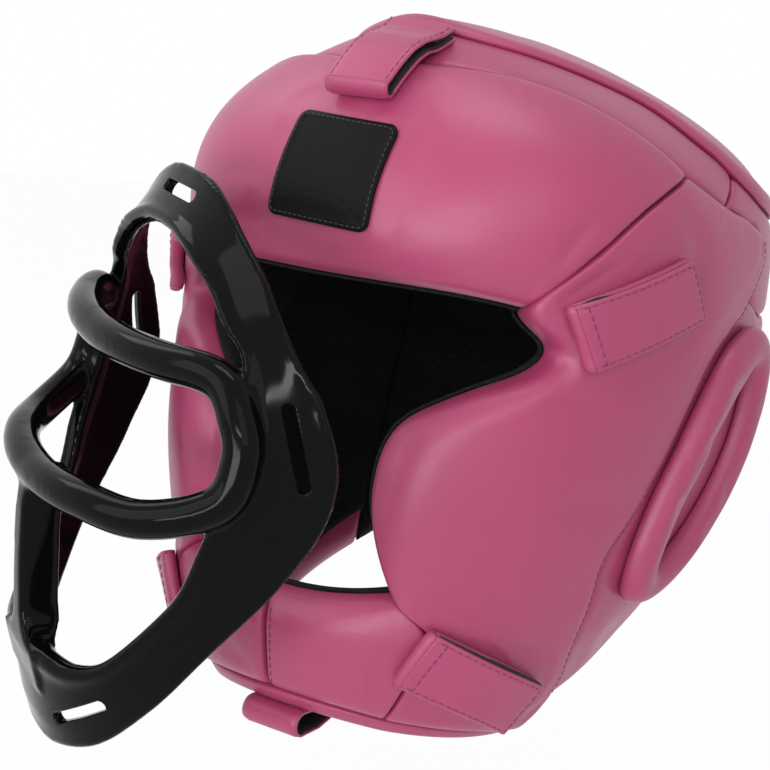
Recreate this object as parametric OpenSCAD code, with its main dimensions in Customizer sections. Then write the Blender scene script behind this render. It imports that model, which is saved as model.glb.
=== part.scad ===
/* [Head] */
// Half width of the guard over the temples
guard_half_w = 106; // [96:1:116]
// Head centre to the front of the pads
guard_front = 125; // [115:1:135]
// Head centre to the back of the pads
guard_back = 108; // [100:1:118]
// Head centre to the top of the crown
crown_h = 145; // [135:1:155]
// Head centre down to the lowest point of the jaw pads
jaw_drop = 122; // [114:1:130]

/* [Padding] */
// Thickness of the forehead and side pads
pad_t = 26; // [20:1:30]
// Thickness of the chin bar pads
chin_t = 20; // [16:1:24]
// Thickness of the crown and rear pads
crown_t = 14; // [10:1:18]
// Thickness of the thin gusset panels between the crown and the front pads
gusset_t = 6; // [4:0.5:8]
// How far the front pads stand proud of the crown panels
pad_rise = 4; // [2:0.5:6]
// Gap left between two pads that are sewn edge to edge
seam_gap = 0.7; // [0.3:0.1:1]
// Thickness of the lining behind the pads
lining_t = 1.5; // [1:0.1:2.5]
// Height of the lower lip band under the pads
band_h = 7; // [5:0.5:10]
// Width of the folded binding along the edge of the crown panel
binding_w = 8; // [6:0.5:10]
// Height of the binding above the panel
binding_h = 2; // [1.5:0.5:4]
// Gap between the two rear pads, which the closure strap bridges
rear_split = 10; // [6:1:16]

/* [Ear pads] */
// Half height of the ear pad's roll, measured to its centre line
ear_half_h = 42; // [38:1:48]
// Half width of the ear pad's roll, measured to its centre line
ear_half_w = 17; // [15:1:19]
// Half width of the roll itself
ear_roll = 10; // [8:0.5:11]
// How far the roll stands proud of the side of the head
ear_rise = 9; // [6:0.5:12]
// Lean of the ear pad, its top to the rear
ear_lean = 14; // [10:1:18]

/* [Tabs] */
// Width of the strap tabs
tab_w = 25; // [20:1:30]
// Thickness of one layer of the tabs
tab_t = 2; // [1.5:0.1:2.5]
// Thickness of the hook patch under a flap
hook_t = 1; // [0.8:0.1:1.6]
// Clearance between a tab and the pad that it lies on
tab_gap = 0.5; // [0.3:0.1:0.8]

/* [Badge] */
// Width of the badge patch
badge_w = 41; // [34:1:50]
// Height of the badge patch
badge_h = 34; // [30:1:42]
// Thickness of the badge patch
badge_t = 1.2; // [0.8:0.1:2]

/* [Face cage] */
// Half width of the cage's shell
cage_half_w = 98; // [92:1:106]
// Head centre to the front of the cage's shell
cage_front = 154; // [146:1:160]
// Head centre to the cage's top edge
cage_up = 106; // [98:1:112]
// Head centre to the cage's chin edge
cage_down = 95; // [88:1:100]
// Wall of the cage's shell
cage_wall = 3.6; // [3:0.2:5]
// Diameter of the brow and nose bars
bar_d = 13; // [10:0.5:15]
// How far the bars' centre line stands in front of the shell
bar_out = 3; // [1:0.5:5]
// Width of the strut between the lower openings
strut_w = 9; // [7:0.5:12]
// Depth of the strut
strut_depth = 14; // [10:1:18]
// Width of the strap slots
slot_w = 4.5; // [3.5:0.5:6]
// Length of the strap slots
slot_l = 29; // [26:1:32]

/* [Rear closure] */
// Width of the rear closure strap
strap_w = 45; // [35:1:55]
// Length of the rear closure strap
strap_l = 110; // [90:1:130]

/* [Loops] */
// Middle radius of the forehead tab's fold
brow_fold = 3.8; // [3:0.1:5]
// Middle radius of the chin tab's fold
chin_fold = 4.2; // [3:0.1:5]

/* [Hidden] */

// Colours of the real object
MAGENTA = "#b0557d";
BLACK = "#1a1a1c";

// The guard's outer form: level from -100 (jaw) to 100 (crown), then half width, front, back and centre as
// shares of guard_half_w, guard_front, guard_back and guard_front, and last the roundness of its plan: 2 is
// an ellipse, more is squarer
PROFILE = [
    [-100, 0.52, 0.82, 0.07, -0.42, 2.1],
    [-86, 0.65, 0.92, 0.26, -0.37, 2.1],
    [-70, 0.755, 0.975, 0.44, -0.29, 2.1],
    [-45, 0.88, 1.015, 0.65, -0.145, 2.1],
    [-16, 0.955, 1.04, 0.83, -0.03, 2.2],
    [14, 1, 1, 0.98, 0, 2.25],
    [38, 0.99, 0.975, 1.02, 0, 2.35],
    [55, 0.97, 0.96, 0.925, 0, 2.5],
    [69, 0.895, 0.89, 0.74, -0.016, 2.55],
    [81, 0.71, 0.785, 0.50, -0.095, 2.5],
    [91, 0.435, 0.67, 0.24, -0.175, 2.4],
    [97, 0.19, 0.585, 0.04, -0.225, 2.3],
    [100, 0.03, 0.51, -0.11, -0.24, 2.3]];

// Cubic interpolation down the rows of a profile
function row_at(rows, t, i = 0) = i >= len(rows) - 2 || t < rows[i + 1][0] ? i : row_at(rows, t, i + 1);
function row_slope(rows, k, i) =
    let (a = rows[max(i - 1, 0)], b = rows[min(i + 1, len(rows) - 1)])
    (b[k] - a[k]) / (b[0] - a[0]);
function share(rows, t, k) =
    let (i = row_at(rows, t), a = rows[i], b = rows[i + 1], h = b[0] - a[0], s = (t - a[0]) / h)
    (2 * s * s * s - 3 * s * s + 1) * a[k] + (s * s * s - 2 * s * s + s) * h * row_slope(rows, k, i)
    + (3 * s * s - 2 * s * s * s) * b[k] + (s * s * s - s * s) * h * row_slope(rows, k, i + 1);

// Smooth curve through hand-chosen points, t from 0 to 1
function through(pts, t) =
    let (n = len(pts) - 1, i = min(floor(t * n), n - 1), s = t * n - i,
        a = pts[max(i - 1, 0)], b = pts[i], c = pts[i + 1], d = pts[min(i + 2, n)])
    b + 0.5 * s * ((c - a) + s * ((2 * a - 5 * b + 4 * c - d) + s * (3 * (b - c) + d - a)));

function height_at(level) = level >= 0 ? level / 100 * crown_h : level / 100 * jaw_drop;
function power(v, e) = sign(v) * pow(abs(v), e);
function unit(v) = v / norm(v);

// Point of the guard's outer form at an angle from the face (left is positive) and a level
function skin(a, t) =
    let (w = share(PROFILE, t, 1) * guard_half_w, f = share(PROFILE, t, 2) * guard_front,
        b = share(PROFILE, t, 3) * guard_back, c = share(PROFILE, t, 4) * guard_front,
        e = 2 / share(PROFILE, t, 5))
    [w * power(sin(a), e), c + (cos(a) > 0 ? -(f + c) : b - c) * pow(abs(cos(a)), e), height_at(t)];
function skin_out(a, t) =
    let (s = 1.5)
    unit(cross(skin(a + s, t) - skin(a - s, t), skin(a, t + s) - skin(a, t - s)));
function on_skin(at, out = 0) = skin(at[0], at[1]) + out * skin_out(at[0], at[1]);
// Angle at which the form has a given distance x from the middle plane, near the front
function angle_at(x, t) =
    sign(x) * asin(pow(abs(x) / (share(PROFILE, t, 1) * guard_half_w), share(PROFILE, t, 5) / 2));

// Faces of a grid of points, two triangles a cell, seen from outside
function cell(a, b, c, d) = [[a, c, b], [a, d, c]];
function grid_faces(nu, nv, first = 0, flip = false) = [
    for (i = [0 : nu - 1], j = [0 : nv - 1])
        let (a = first + i * (nv + 1) + j, b = a + nv + 1)
        each (flip ? cell(a, a + 1, b + 1, b) : cell(a, b, b + 1, a + 1))];
function rim_loop(nu, nv) = concat(
    [for (i = [0 : nu - 1]) i * (nv + 1)],
    [for (j = [0 : nv - 1]) nu * (nv + 1) + j],
    [for (i = [nu : -1 : 1]) i * (nv + 1) + nv],
    [for (j = [nv : -1 : 1]) j]);

// How full a pad is a share s in from an edge whose roll takes the share r and whose wall has the share w
function fullness(s, r, w) = s >= r ? 1 : w + (1 - w) * sqrt(1 - pow(1 - s / r, 2));
function spaced(i, n) = 0.5 - 0.5 * cos(180 * i / n);
function value(r, t) = is_function(r) ? r(t) : r;
function face_height(u, v, s, out, deep, rolls, walls, crown) =
    let (full = fullness(u, value(rolls[0], v), value(walls[0], v)) * fullness(1 - u, rolls[1], walls[1])
            * fullness(v, rolls[2], walls[2]) * fullness(1 - v, rolls[3], walls[3]),
        swell = s > 0 ? crown * 16 * u * (1 - u) * v * (1 - v) : 0)
    (out - deep) / 2 + s * (out + deep) / 2 * full + swell;

// Closed cushion over a four-sided patch of the guard's form. place(u, v) gives its angle and level,
// rolls and walls are for the edges u = 0, u = 1, v = 0 and v = 1.
module cushion(place, out, deep, nu, nv, rolls, walls, crown = 0) {
    side = (nu + 1) * (nv + 1);
    function point(i, j, s) =
        let (u = spaced(i, nu), v = spaced(j, nv))
        on_skin(place(u, v), face_height(u, v, s, out, deep, rolls, walls, crown));
    points = [for (s = [1, -1], i = [0 : nu], j = [0 : nv]) point(i, j, s)];
    rim = rim_loop(nu, nv);
    faces = concat(grid_faces(nu, nv), grid_faces(nu, nv, side, true), [
        for (k = [0 : len(rim) - 1])
            let (a = rim[k], b = rim[(k + 1) % len(rim)])
            each cell(a, a + side, b + side, b)]);
    polyhedron(points, faces);
}

module both_sides(right) {
    if (right) mirror([1, 0, 0]) children();
    else children();
}

// Seams and edges of the pads, as [angle, level] on the left side, from below upwards
SEAM = [[41, 33], [53, 47], [65, 58.5], [78, 67]];
CHIN_JOINT = [[34, -86], [37, -72], [38, -57], [28, -47]];
SIDE_FRONT = concat(CHIN_JOINT, [[21, -31], [18.3, -14], [20, 2], [31, 11], [43.5, 17.5], [48, 24]], SEAM);
SIDE_REAR = [[88, -92], [88, -84], [84, -74], [77, -60], [73, -45], [71.5, -33], [75, -18], [77, -4],
    [80, 11], [84, 22], [91, 31], [95, 38], [99, 47], [96.5, 54.5]];

// Thickening of a pad at its middle
pad_swell = 0.6;
gap_angle = seam_gap / guard_front * 180 / PI;

function side_place(u, v) =
    let (f = through(SIDE_FRONT, v), r = through(SIDE_REAR, v))
    f + (r - f) * u + [u < 0.5 ? gap_angle * (1 - 2 * u) : 0, 0];

function forehead_low(s) = 35.5 - 2.5 * pow(abs(s), 3);
function forehead_top(s) = 86.5 - 1.5 * pow(s, 2) - 18 * pow(abs(s), 5);
function forehead_place(u, v) =
    let (s = 2 * u - 1, seam = through(SEAM, v), k = (seam[1] - SEAM[0][1]) / (SEAM[3][1] - SEAM[0][1]))
    [s * (seam[0] - 3.1 * gap_angle), forehead_low(s) + (forehead_top(s) - forehead_low(s)) * k];

function chin_place(u, v) =
    let (joint = through(CHIN_JOINT, v), seam = [gap_angle / 2, -83 + 32 * v],
        across = joint - [4.7 * gap_angle, 0] - seam)
    seam + [across[0] * u, across[1] * u * u];

// The lower band runs under the pads from jaw corner to jaw corner
function pads_low(a) = abs(a) < 34 ? -83 - 3 * pow(a / 34, 2) : -86 - 6 * (abs(a) - 34) / 54;
function band_place(u, v) =
    let (a = 176 * (u - 0.5), top = pads_low(a) - 100 * seam_gap * 1.3 / jaw_drop)
    [a, top - 100 * band_h / jaw_drop * (1 - 0.6 * pow(a / 88, 2)) * (1 - v)];

// Upper edge of the front pads, and the edge of the crown panel behind it from the face to the nape
function pads_high(a) = abs(a) < 78 ? forehead_top(a / 78) : 67 - 12.5 * (abs(a) - 78) / 18.5;
CROWN_FRONT = [[0, 95.5], [22, 95.2], [40, 94], [58, 92.3], [70, 90.3], [80, 87.3], [87, 83], [89.5, 75.2],
    [92, 68.3]];
CROWN_REAR = [[97, 64], [103, 60.5], [113, 58], [127, 56], [145, 55], [163, 54.5], [180, 54.5]];
CROWN_EDGE = concat(CROWN_FRONT, CROWN_REAR);
REAR_LOW = [[89.4, 60.4], [93.5, 57.7], [99.2, 56], [101.9, 47.4], [97.6, 38.9], [108, 31.9], [127, 31.9]];
REAR_HIGH = [[93, 67.3], [97, 64], [102, 60.8], [107, 59.3], [113, 58], [120, 57], [127, 56]];
NECK_FRONT = [for (k = [0 : 10]) SIDE_REAR[k] + [0.8, 0]];
NECK_REAR = [[121, -71], [124, -62], [126, -52], [127, -42], [127, -32], [127, -22], [127, -12], [127, -2],
    [127, 9], [127, 20], [127, 31]];

function folded(pts, s) = let (p = through(pts, abs(s))) [sign(s) * p[0], p[1]];
function between(low, high, u, v) = low + (high - low) * v;
function gusset_place(u, v) =
    let (s = 2 * u - 1, a = 88.5 * s)
    between([a, pads_high(a) + 100 * seam_gap / crown_h], folded(CROWN_FRONT, s) - [0, 0.6], u, v);
function gusset_rear_place(u, v) = between(through(REAR_LOW, u), through(REAR_HIGH, u) - [0, 0.6], u, v);
function neck_place(u, v) =
    let (f = through(NECK_FRONT, v), r = through(NECK_REAR, v))
    f + (r - f) * u;
function rear_place(u, v) =
    let (first = 127.4, last = 180 - rear_split / guard_back * 90 / PI, a = first + (last - first) * u, k = 1 - u)
    [a, (-50 - 18 * pow(k, 2)) * (1 - v) + (54 + 1.4 * pow(k, 2)) * v];

// The side pad rolls in deeply round the face opening and only a little along its seams
function opening_share(v) = max(0, 1 - pow(abs(v - 0.5) / 0.29, 4));
SIDE_ROLLS = [function (v) 0.06 + 0.16 * opening_share(v), 0.1, 0.04, 0.05];
SIDE_WALLS = [function (v) 0.75 - 0.71 * opening_share(v), 0.45, 0.5, 0.6];
function side_height(u, v) = face_height(u, v, 1, pad_rise, pad_t - pad_rise, SIDE_ROLLS, SIDE_WALLS, pad_swell);

module forehead_pad() {
    color(MAGENTA) cushion(function (u, v) forehead_place(u, v), pad_rise, pad_t - pad_rise, 18, 8,
        [0.05, 0.05, 0.22, 0.1], [0.75, 0.75, 0.04, 0.5], pad_swell);
}

module side_pad(right) {
    color(MAGENTA) both_sides(right) cushion(function (u, v) side_place(u, v), pad_rise, pad_t - pad_rise,
        10, 18, SIDE_ROLLS, SIDE_WALLS, pad_swell);
}
module side_pad_left() { side_pad(false); }
module side_pad_right() { side_pad(true); }

module chin_pad(right) {
    color(MAGENTA) both_sides(right) cushion(function (u, v) chin_place(u, v), pad_rise, chin_t - pad_rise,
        7, 7, [0.08, 0.08, 0.2, 0.35], [0.7, 0.75, 0.3, 0.04], pad_swell);
}
module chin_pad_left() { chin_pad(false); }
module chin_pad_right() { chin_pad(true); }

module lower_band() {
    color(MAGENTA) cushion(function (u, v) band_place(u, v), 0, chin_t * 0.6, 18, 2,
        [0.02, 0.02, 0.4, 0.1], [0.4, 0.4, 0.3, 0.8]);
}

// The ear pad is an oval roll that lies on the side of the head, with an open middle over the ear
EAR_ANGLE = 93;
EAR_LEVEL = -9;
function ear_at(x, z) =
    let (turned = [x * cos(ear_lean) + z * sin(ear_lean), z * cos(ear_lean) - x * sin(ear_lean)])
    [EAR_ANGLE + turned[0] / guard_half_w * 180 / PI, EAR_LEVEL + turned[1] / jaw_drop * 100];
module ear_pad(right) {
    around = 24;
    over = 6;
    function roll_point(i, k) =
        let (a = 360 * i / around, b = 180 * k / (over - 1), top = k < over,
            w = top ? ear_roll * cos(b) : 0, h = top ? ear_rise * pow(sin(b), 0.8) : 0)
        on_skin(ear_at((ear_half_w - w) * cos(a), (ear_half_h - w) * sin(a)), tab_gap + h);
    points = [for (i = [0 : around - 1], k = [0 : over]) roll_point(i, k)];
    faces = [for (i = [0 : around - 1], k = [0 : over])
        let (n = over + 1, a = i * n + k, b = i * n + (k + 1) % n,
            c = (i + 1) % around * n + (k + 1) % n, d = (i + 1) % around * n + k)
        each cell(a, b, c, d)];
    color(MAGENTA) both_sides(right) polyhedron(points, faces);
}
module ear_pad_left() { ear_pad(false); }
module ear_pad_right() { ear_pad(true); }

module neck_panel(right) {
    color(MAGENTA) both_sides(right) cushion(function (u, v) neck_place(u, v), 0, crown_t, 6, 9,
        [0.06, 0.06, 0.12, 0.05], [0.6, 0.6, 0.1, 0.7]);
}
module neck_panel_left() { neck_panel(false); }
module neck_panel_right() { neck_panel(true); }

module rear_pad(right) {
    color(MAGENTA) both_sides(right) cushion(function (u, v) rear_place(u, v), 0, crown_t, 6, 9,
        [0.06, 0.12, 0.12, 0.05], [0.6, 0.1, 0.1, 0.7], pad_swell);
}
module rear_pad_left() { rear_pad(false); }
module rear_pad_right() { rear_pad(true); }

// The crown panel is a disc over the top: rings run from its edge up to the middle of the crown
module crown_disc(out, deep, around, rings, wall) {
    function crown_point(i, j, s) =
        let (turn = 2 * i / around - 1, edge = folded(CROWN_EDGE, turn), v = 1 - pow(1 - j / rings, 1.6),
            full = fullness(v, 0.15, wall))
        on_skin([edge[0], edge[1] + (99.6 - edge[1]) * v], (out - deep) / 2 + s * (out + deep) / 2 * full);
    middle = [0, -0.3 * guard_front, crown_h];
    side = around * (rings + 1);
    points = concat([for (s = [1, -1], i = [0 : around - 1], j = [0 : rings]) crown_point(i, j, s)],
        [middle + [0, 0, out], middle - [0, 0, deep]]);
    step = rings + 1;
    faces = concat(
        [for (i = [0 : around - 1], j = [0 : rings - 1])
            let (a = i * step + j, b = (i + 1) % around * step + j)
            each cell(a, b, b + 1, a + 1)],
        [for (i = [0 : around - 1], j = [0 : rings - 1])
            let (a = side + i * step + j, b = side + (i + 1) % around * step + j)
            each cell(a, a + 1, b + 1, b)],
        [for (i = [0 : around - 1])
            let (a = i * step, b = (i + 1) % around * step)
            each cell(a, a + side, b + side, b)],
        [for (i = [0 : around - 1])
            let (a = i * step + rings, b = (i + 1) % around * step + rings)
            each [[a, 2 * side, b], [a + side, b + side, 2 * side + 1]]]);
    polyhedron(points, faces);
}
module crown_panel() {
    color(MAGENTA) crown_disc(0, crown_t, 28, 5, 0.7);
}

// The binding is a half-round roll, sewn round the crown panel's edge
module crown_binding() {
    around = 36;
    over = 4;
    function edge_at(i) = let (p = folded(CROWN_EDGE, 2 * (i % around) / around - 1)) on_skin(p, 0);
    function binding_point(i, k) =
        let (p = folded(CROWN_EDGE, 2 * i / around - 1), n = skin_out(p[0], p[1]),
            along = unit(edge_at(i + 1) - edge_at(i + around - 1)), inward = cross(n, along),
            b = 180 * k / (over - 1), w = k < over ? binding_w / 2 * cos(b) : 0,
            h = k < over ? binding_h * sin(b) : 0)
        on_skin(p, tab_gap + h) + inward * (binding_w / 2 - w);
    points = [for (i = [0 : around - 1], k = [0 : over]) binding_point(i, k)];
    faces = [for (i = [0 : around - 1], k = [0 : over])
        let (n = over + 1, a = i * n + k, b = i * n + (k + 1) % n,
            c = (i + 1) % around * n + (k + 1) % n, d = (i + 1) % around * n + k)
        each cell(d, c, b, a)];
    color(MAGENTA) polyhedron(points, faces);
}

module gusset_front() {
    color(MAGENTA) cushion(function (u, v) gusset_place(u, v), 0, gusset_t, 20, 1,
        [0.03, 0.03, 0.1, 0.1], [0.7, 0.7, 0.7, 0.7]);
}
module gusset_rear(right) {
    color(MAGENTA) both_sides(right) cushion(function (u, v) gusset_rear_place(u, v), 0, gusset_t, 7, 2,
        [0.06, 0.06, 0.06, 0.06], [0.7, 0.7, 0.7, 0.7]);
}
module gusset_rear_left() { gusset_rear(false); }
module gusset_rear_right() { gusset_rear(true); }

// The lining lies behind the pads and follows their patches
lining_gap = 0.7;
module lining(place, depth, nu, nv) {
    color(BLACK) cushion(place, -depth - lining_gap, depth + lining_gap + lining_t, nu, nv,
        [0.05, 0.05, 0.05, 0.05], [0.8, 0.8, 0.8, 0.8]);
}
function drawn_in(place, u, v) = place(0.06 + 0.88 * u, 0.12 + 0.8 * v);
module lining_forehead() {
    lining(function (u, v) drawn_in(function (a, b) forehead_place(a, b), u, v), pad_t - pad_rise, 10, 2);
}
module lining_side(right) {
    both_sides(right) lining(function (u, v) drawn_in(function (a, b) side_place(0.08 + 0.92 * a, b), u, v),
        pad_t - pad_rise, 4, 7);
}
module lining_side_left() { lining_side(false); }
module lining_side_right() { lining_side(true); }
module lining_crown() {
    color(BLACK) crown_disc(-crown_t - 1.5 * lining_gap, crown_t + 1.5 * lining_gap + lining_t, 20, 2, 0.8);
}
module lining_rear(right) {
    both_sides(right) lining(function (u, v) drawn_in(function (a, b) rear_place(a, b), u, v), crown_t, 4, 3);
}
module lining_rear_left() { lining_rear(false); }
module lining_rear_right() { lining_rear(true); }

// A strap's section is two chains of [distance along, height], one on each face, with the same number of
// points. point(s, w, h) gives the place for a distance, a share of the width and a height.
module strap(point, top, under, nw = 3) {
    n = len(top);
    step = nw + 1;
    points = [for (chain = [top, under], q = chain, j = [0 : nw]) point(q[0], j / nw, q[1])];
    other = n * step;
    faces = concat(
        [for (i = [0 : n - 2], j = [0 : nw - 1])
            let (a = i * step + j)
            each cell(a, a + step, a + step + 1, a + 1)],
        [for (i = [0 : n - 2], j = [0 : nw - 1])
            let (a = other + i * step + j)
            each cell(a, a + 1, a + step + 1, a + step)],
        [for (i = [0 : n - 2])
            let (a = i * step, b = a + step)
            each concat(cell(a, a + other, b + other, b), cell(a + nw, b + nw, b + nw + other, a + nw + other))],
        [for (j = [0 : nw - 1])
            let (a = j, b = (n - 1) * step + j)
            each concat(cell(a, a + 1, a + 1 + other, a + other), cell(b, b + other, b + other + 1, b + 1))]);
    polyhedron(points, faces);
}

// Where a point of the guard lies on the side pad, by a few corrections of a first guess
function on_side_pad(at, uv = [0.5, 0.5], n = 12) =
    n == 0 ? [min(max(uv[0], 0), 1), min(max(uv[1], 0), 1)] :
    let (v = min(max(uv[1], 0), 1), f = through(SIDE_FRONT, v), r = through(SIDE_REAR, v),
        p = f + (r - f) * uv[0])
    on_side_pad(at, [uv[0] + (at[0] - p[0]) / (r[0] - f[0]), v + (at[1] - p[1]) / 190], n - 1);

// Corners of the side tabs as [angle, level]: free end above and below, then the fold above and below
TEMPLE_TAB = [[72.2, 47.9], [76.5, 33.3], [48, 35.5], [53.6, 20.4]];
JAW_TAB = [[70.1, -69.2], [68.7, -84.3], [38.4, -53.1], [34.5, -69.8]];
function corner_point(c, s, w) = c[0] * (1 - s) * (1 - w) + c[1] * (1 - s) * w + c[2] * s * (1 - w) + c[3] * s * w;
function tab_length(c) = norm(on_skin((c[2] + c[3]) / 2) - on_skin((c[0] + c[1]) / 2)) * 1.03;
function tab_point(c, s, w, h) =
    let (at = corner_point(c, s / tab_length(c), w), uv = on_side_pad(at),
        u = min(max(uv[0], 0.1), 0.93), v = max(uv[1], 0.03))
    on_skin(at, max(side_height(u, v), 0) + tab_gap + h);

// Middle radius of a fold, and the arc of one of its faces round [s, h]
fold_mid = (tab_t + hook_t + tab_gap) / 2;
function fold_arc(s, h, r) = [for (k = [1 : 5]) [s + r * sin(36 * k), h - r * cos(36 * k)]];
// The base is the layer sewn to the pad and the fold at its front end
module tab_base(point, length) {
    axis_h = tab_t / 2 + fold_mid;
    stations = [for (k = [0 : 8]) length * k / 8];
    strap(point, concat([for (s = stations) [s, tab_t]], fold_arc(length, axis_h, fold_mid - tab_t / 2)),
        concat([for (s = stations) [s, 0]], fold_arc(length, axis_h, fold_mid + tab_t / 2)), 2);
}
// The flap is the layer that folds back, with the hook patch under its free end
fold_gap = 0.6;
module tab_flap(point, length) {
    low = 2 * fold_mid;
    s0 = 1;
    s1 = length * 0.62;
    stations = concat([for (k = [0 : 5]) s0 + (s1 - s0) * k / 5], [s1 + 0.5, length * 0.75, length * 0.88,
        length - fold_gap]);
    top = [for (s = stations) [s, low + tab_t]];
    under = [for (s = stations) [s, s <= s1 ? low - hook_t : low]];
    strap(point, top, under, 2);
}
module side_tab_base(c, right) {
    color(MAGENTA) both_sides(right) tab_base(function (s, w, h) tab_point(c, s, w, h), tab_length(c));
}
module side_tab_flap(c, right) {
    color(MAGENTA) both_sides(right) tab_flap(function (s, w, h) tab_point(c, s, w, h), tab_length(c));
}
module temple_tab_base_left() { side_tab_base(TEMPLE_TAB, false); }
module temple_tab_base_right() { side_tab_base(TEMPLE_TAB, true); }
module jaw_tab_base_left() { side_tab_base(JAW_TAB, false); }
module jaw_tab_base_right() { side_tab_base(JAW_TAB, true); }
module temple_flap_left() { side_tab_flap(TEMPLE_TAB, false); }
module temple_flap_right() { side_tab_flap(TEMPLE_TAB, true); }
module jaw_flap_left() { side_tab_flap(JAW_TAB, false); }
module jaw_flap_right() { side_tab_flap(JAW_TAB, true); }

// The forehead tab is an open loop over the gusset and the pad's upper edge, sewn a little off the middle
BROW_LEVELS = [94.6, 92.6, 90.4, 87.6, 84.2, 80.2, 75.8];
brow_tab_l = 39;
brow_shift = 4.5;
brow_lean = 2.5;
function brow_point(s, w, h) =
    let (up = 1 - s / brow_tab_l, across = (w - 0.5) * tab_w + brow_shift + brow_lean * up,
        t = through(BROW_LEVELS, 1 - up) - 0.005 * pow(across, 2) * max(up, 0))
    on_skin([angle_at(across, t), t], h);
BROW_BASE = [[0, 1.3], [8, 1.5], [14, 2.6], [19, 4.9], [24, 5.8], [31, 6], [38, 6.1]];
BROW_FLAP = [[0.5, 5.4], [8, 5.8], [13.5, 7.4], [19, 10.4], [25, 12.8], [31, 13.7], [37.4, 13.8]];
module forehead_tab_base() {
    last = BROW_BASE[6];
    color(MAGENTA) strap(function (s, w, h) brow_point(s, w, h),
        concat([for (q = BROW_BASE) q + [0, tab_t / 2]], fold_arc(last[0], last[1] + brow_fold, brow_fold - tab_t / 2)),
        concat([for (q = BROW_BASE) q - [0, tab_t / 2]], fold_arc(last[0], last[1] + brow_fold, brow_fold + tab_t / 2)));
}
module forehead_flap() {
    color(MAGENTA) strap(function (s, w, h) brow_point(s, w, h),
        [for (q = BROW_FLAP) q + [0, tab_t / 2]],
        [for (q = BROW_FLAP) q - [0, tab_t / 2 + (q[0] < 14 ? hook_t : 0)]]);
}

// The chin tab is a loop that hangs under the lower band: distance along runs forward, height runs down
chin_tab_y = -88;
chin_tab_z = -107.6;
chin_tab_l = 25;
function chin_tab_point(s, w, h) = [(0.5 - w) * tab_w, chin_tab_y - s, chin_tab_z - h];
CHIN_BASE = [[0, 1.2], [6, 1.1], [12, 1], [18, 1], [chin_tab_l, 1]];
CHIN_FLAP = [[0.5, 5], [5, 5], [9, 6.6], [15, 8.6], [chin_tab_l - fold_gap, 9.4]];
module chin_tab_base() {
    last = CHIN_BASE[4];
    color(MAGENTA) strap(function (s, w, h) chin_tab_point(s, w, h),
        concat([for (q = CHIN_BASE) q + [0, tab_t / 2]], fold_arc(last[0], last[1] + chin_fold, chin_fold - tab_t / 2)),
        concat([for (q = CHIN_BASE) q - [0, tab_t / 2]], fold_arc(last[0], last[1] + chin_fold, chin_fold + tab_t / 2)));
}
module chin_flap() {
    color(MAGENTA) strap(function (s, w, h) chin_tab_point(s, w, h),
        [for (q = CHIN_FLAP) q + [0, tab_t / 2]],
        [for (q = CHIN_FLAP) q - [0, tab_t / 2 + (q[0] < 7 ? hook_t : 0)]]);
}

// The badge patch follows the forehead pad: the level of its middle, levels in a millimetre up the pad, how
// far it is sewn off the middle and how far it leans
BADGE_LEVEL = 58.5;
BADGE_STEP = 0.69;
badge_shift = 4.2;
badge_lean = 0.045;
function badge_point(s, w, h) =
    let (across = (w - 0.5) * badge_w, t = BADGE_LEVEL + (s - across * badge_lean) * BADGE_STEP)
    on_skin([angle_at(across + badge_shift + s * badge_lean, t), t], pad_rise + pad_swell + tab_gap + h);
module badge() {
    rows = [for (k = [-2 : 2]) badge_h / 4 * k];
    color(BLACK) strap(function (s, w, h) badge_point(-s, w, h),
        [for (s = rows) [s, badge_t]], [for (s = rows) [s, 0]], 5);
}

// The rear closure: a loop patch on the left rear pad, and a strap sewn to the right one
REAR_LEVEL = -8;
function rear_point(s, w, h) =
    on_skin([180 + s / guard_back * 180 / PI * 0.97, REAR_LEVEL + (w - 0.5) * strap_w / jaw_drop * 100], h);
REAR_GAP = pad_swell + tab_gap;
module rear_loop_patch() {
    rows = [for (k = [0 : 4]) -strap_l / 2 + 2 + 11.5 * k * strap_l / 110];
    color(BLACK) strap(function (s, w, h) rear_point(s, w, h),
        [for (s = rows) [s, REAR_GAP + hook_t]], [for (s = rows) [s, REAR_GAP]], 2);
}
module rear_strap() {
    rows = [for (k = [0 : 8]) strap_l * (k / 8 - 0.5)];
    low = REAR_GAP + hook_t + 2 * tab_gap;
    color(MAGENTA) strap(function (s, w, h) rear_point(s, w, h),
        [for (s = rows) [s, low + tab_t]],
        [for (s = rows) [s, s < -6 ? low : low - (hook_t + tab_gap) * (s > 6 ? 1 : 0.5)]], 2);
}

// The cage in its own frame, as worn: level from -100 (chin edge) to 100 (top edge), then half width and
// front as shares of cage_half_w and cage_front
CAGE_PROFILE = [[-100, 0.69, 0.94], [-86, 0.785, 0.97], [-61, 0.875, 0.99], [-10, 0.97, 1], [5, 0.99, 0.98],
    [31, 1, 0.925], [51, 0.98, 0.857], [70, 0.93, 0.786], [91, 0.845, 0.706], [100, 0.79, 0.677]];
cage_round = 2.5;
function cage_level(z) = z >= 0 ? z / cage_up * 100 : z / cage_down * 100;
function cage_skin(at) =
    let (t = cage_level(at[1]), e = 2 / cage_round)
    [share(CAGE_PROFILE, t, 1) * cage_half_w * power(sin(at[0]), e),
        -share(CAGE_PROFILE, t, 2) * cage_front * pow(cos(at[0]), e), at[1]];
function cage_out(at) =
    unit(cross(cage_skin(at + [1.5, 0]) - cage_skin(at - [1.5, 0]), cage_skin(at + [0, 1.5]) - cage_skin(at - [0, 1.5])));
function on_cage(at, out = 0) = cage_skin(at) + out * cage_out(at);
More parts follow.
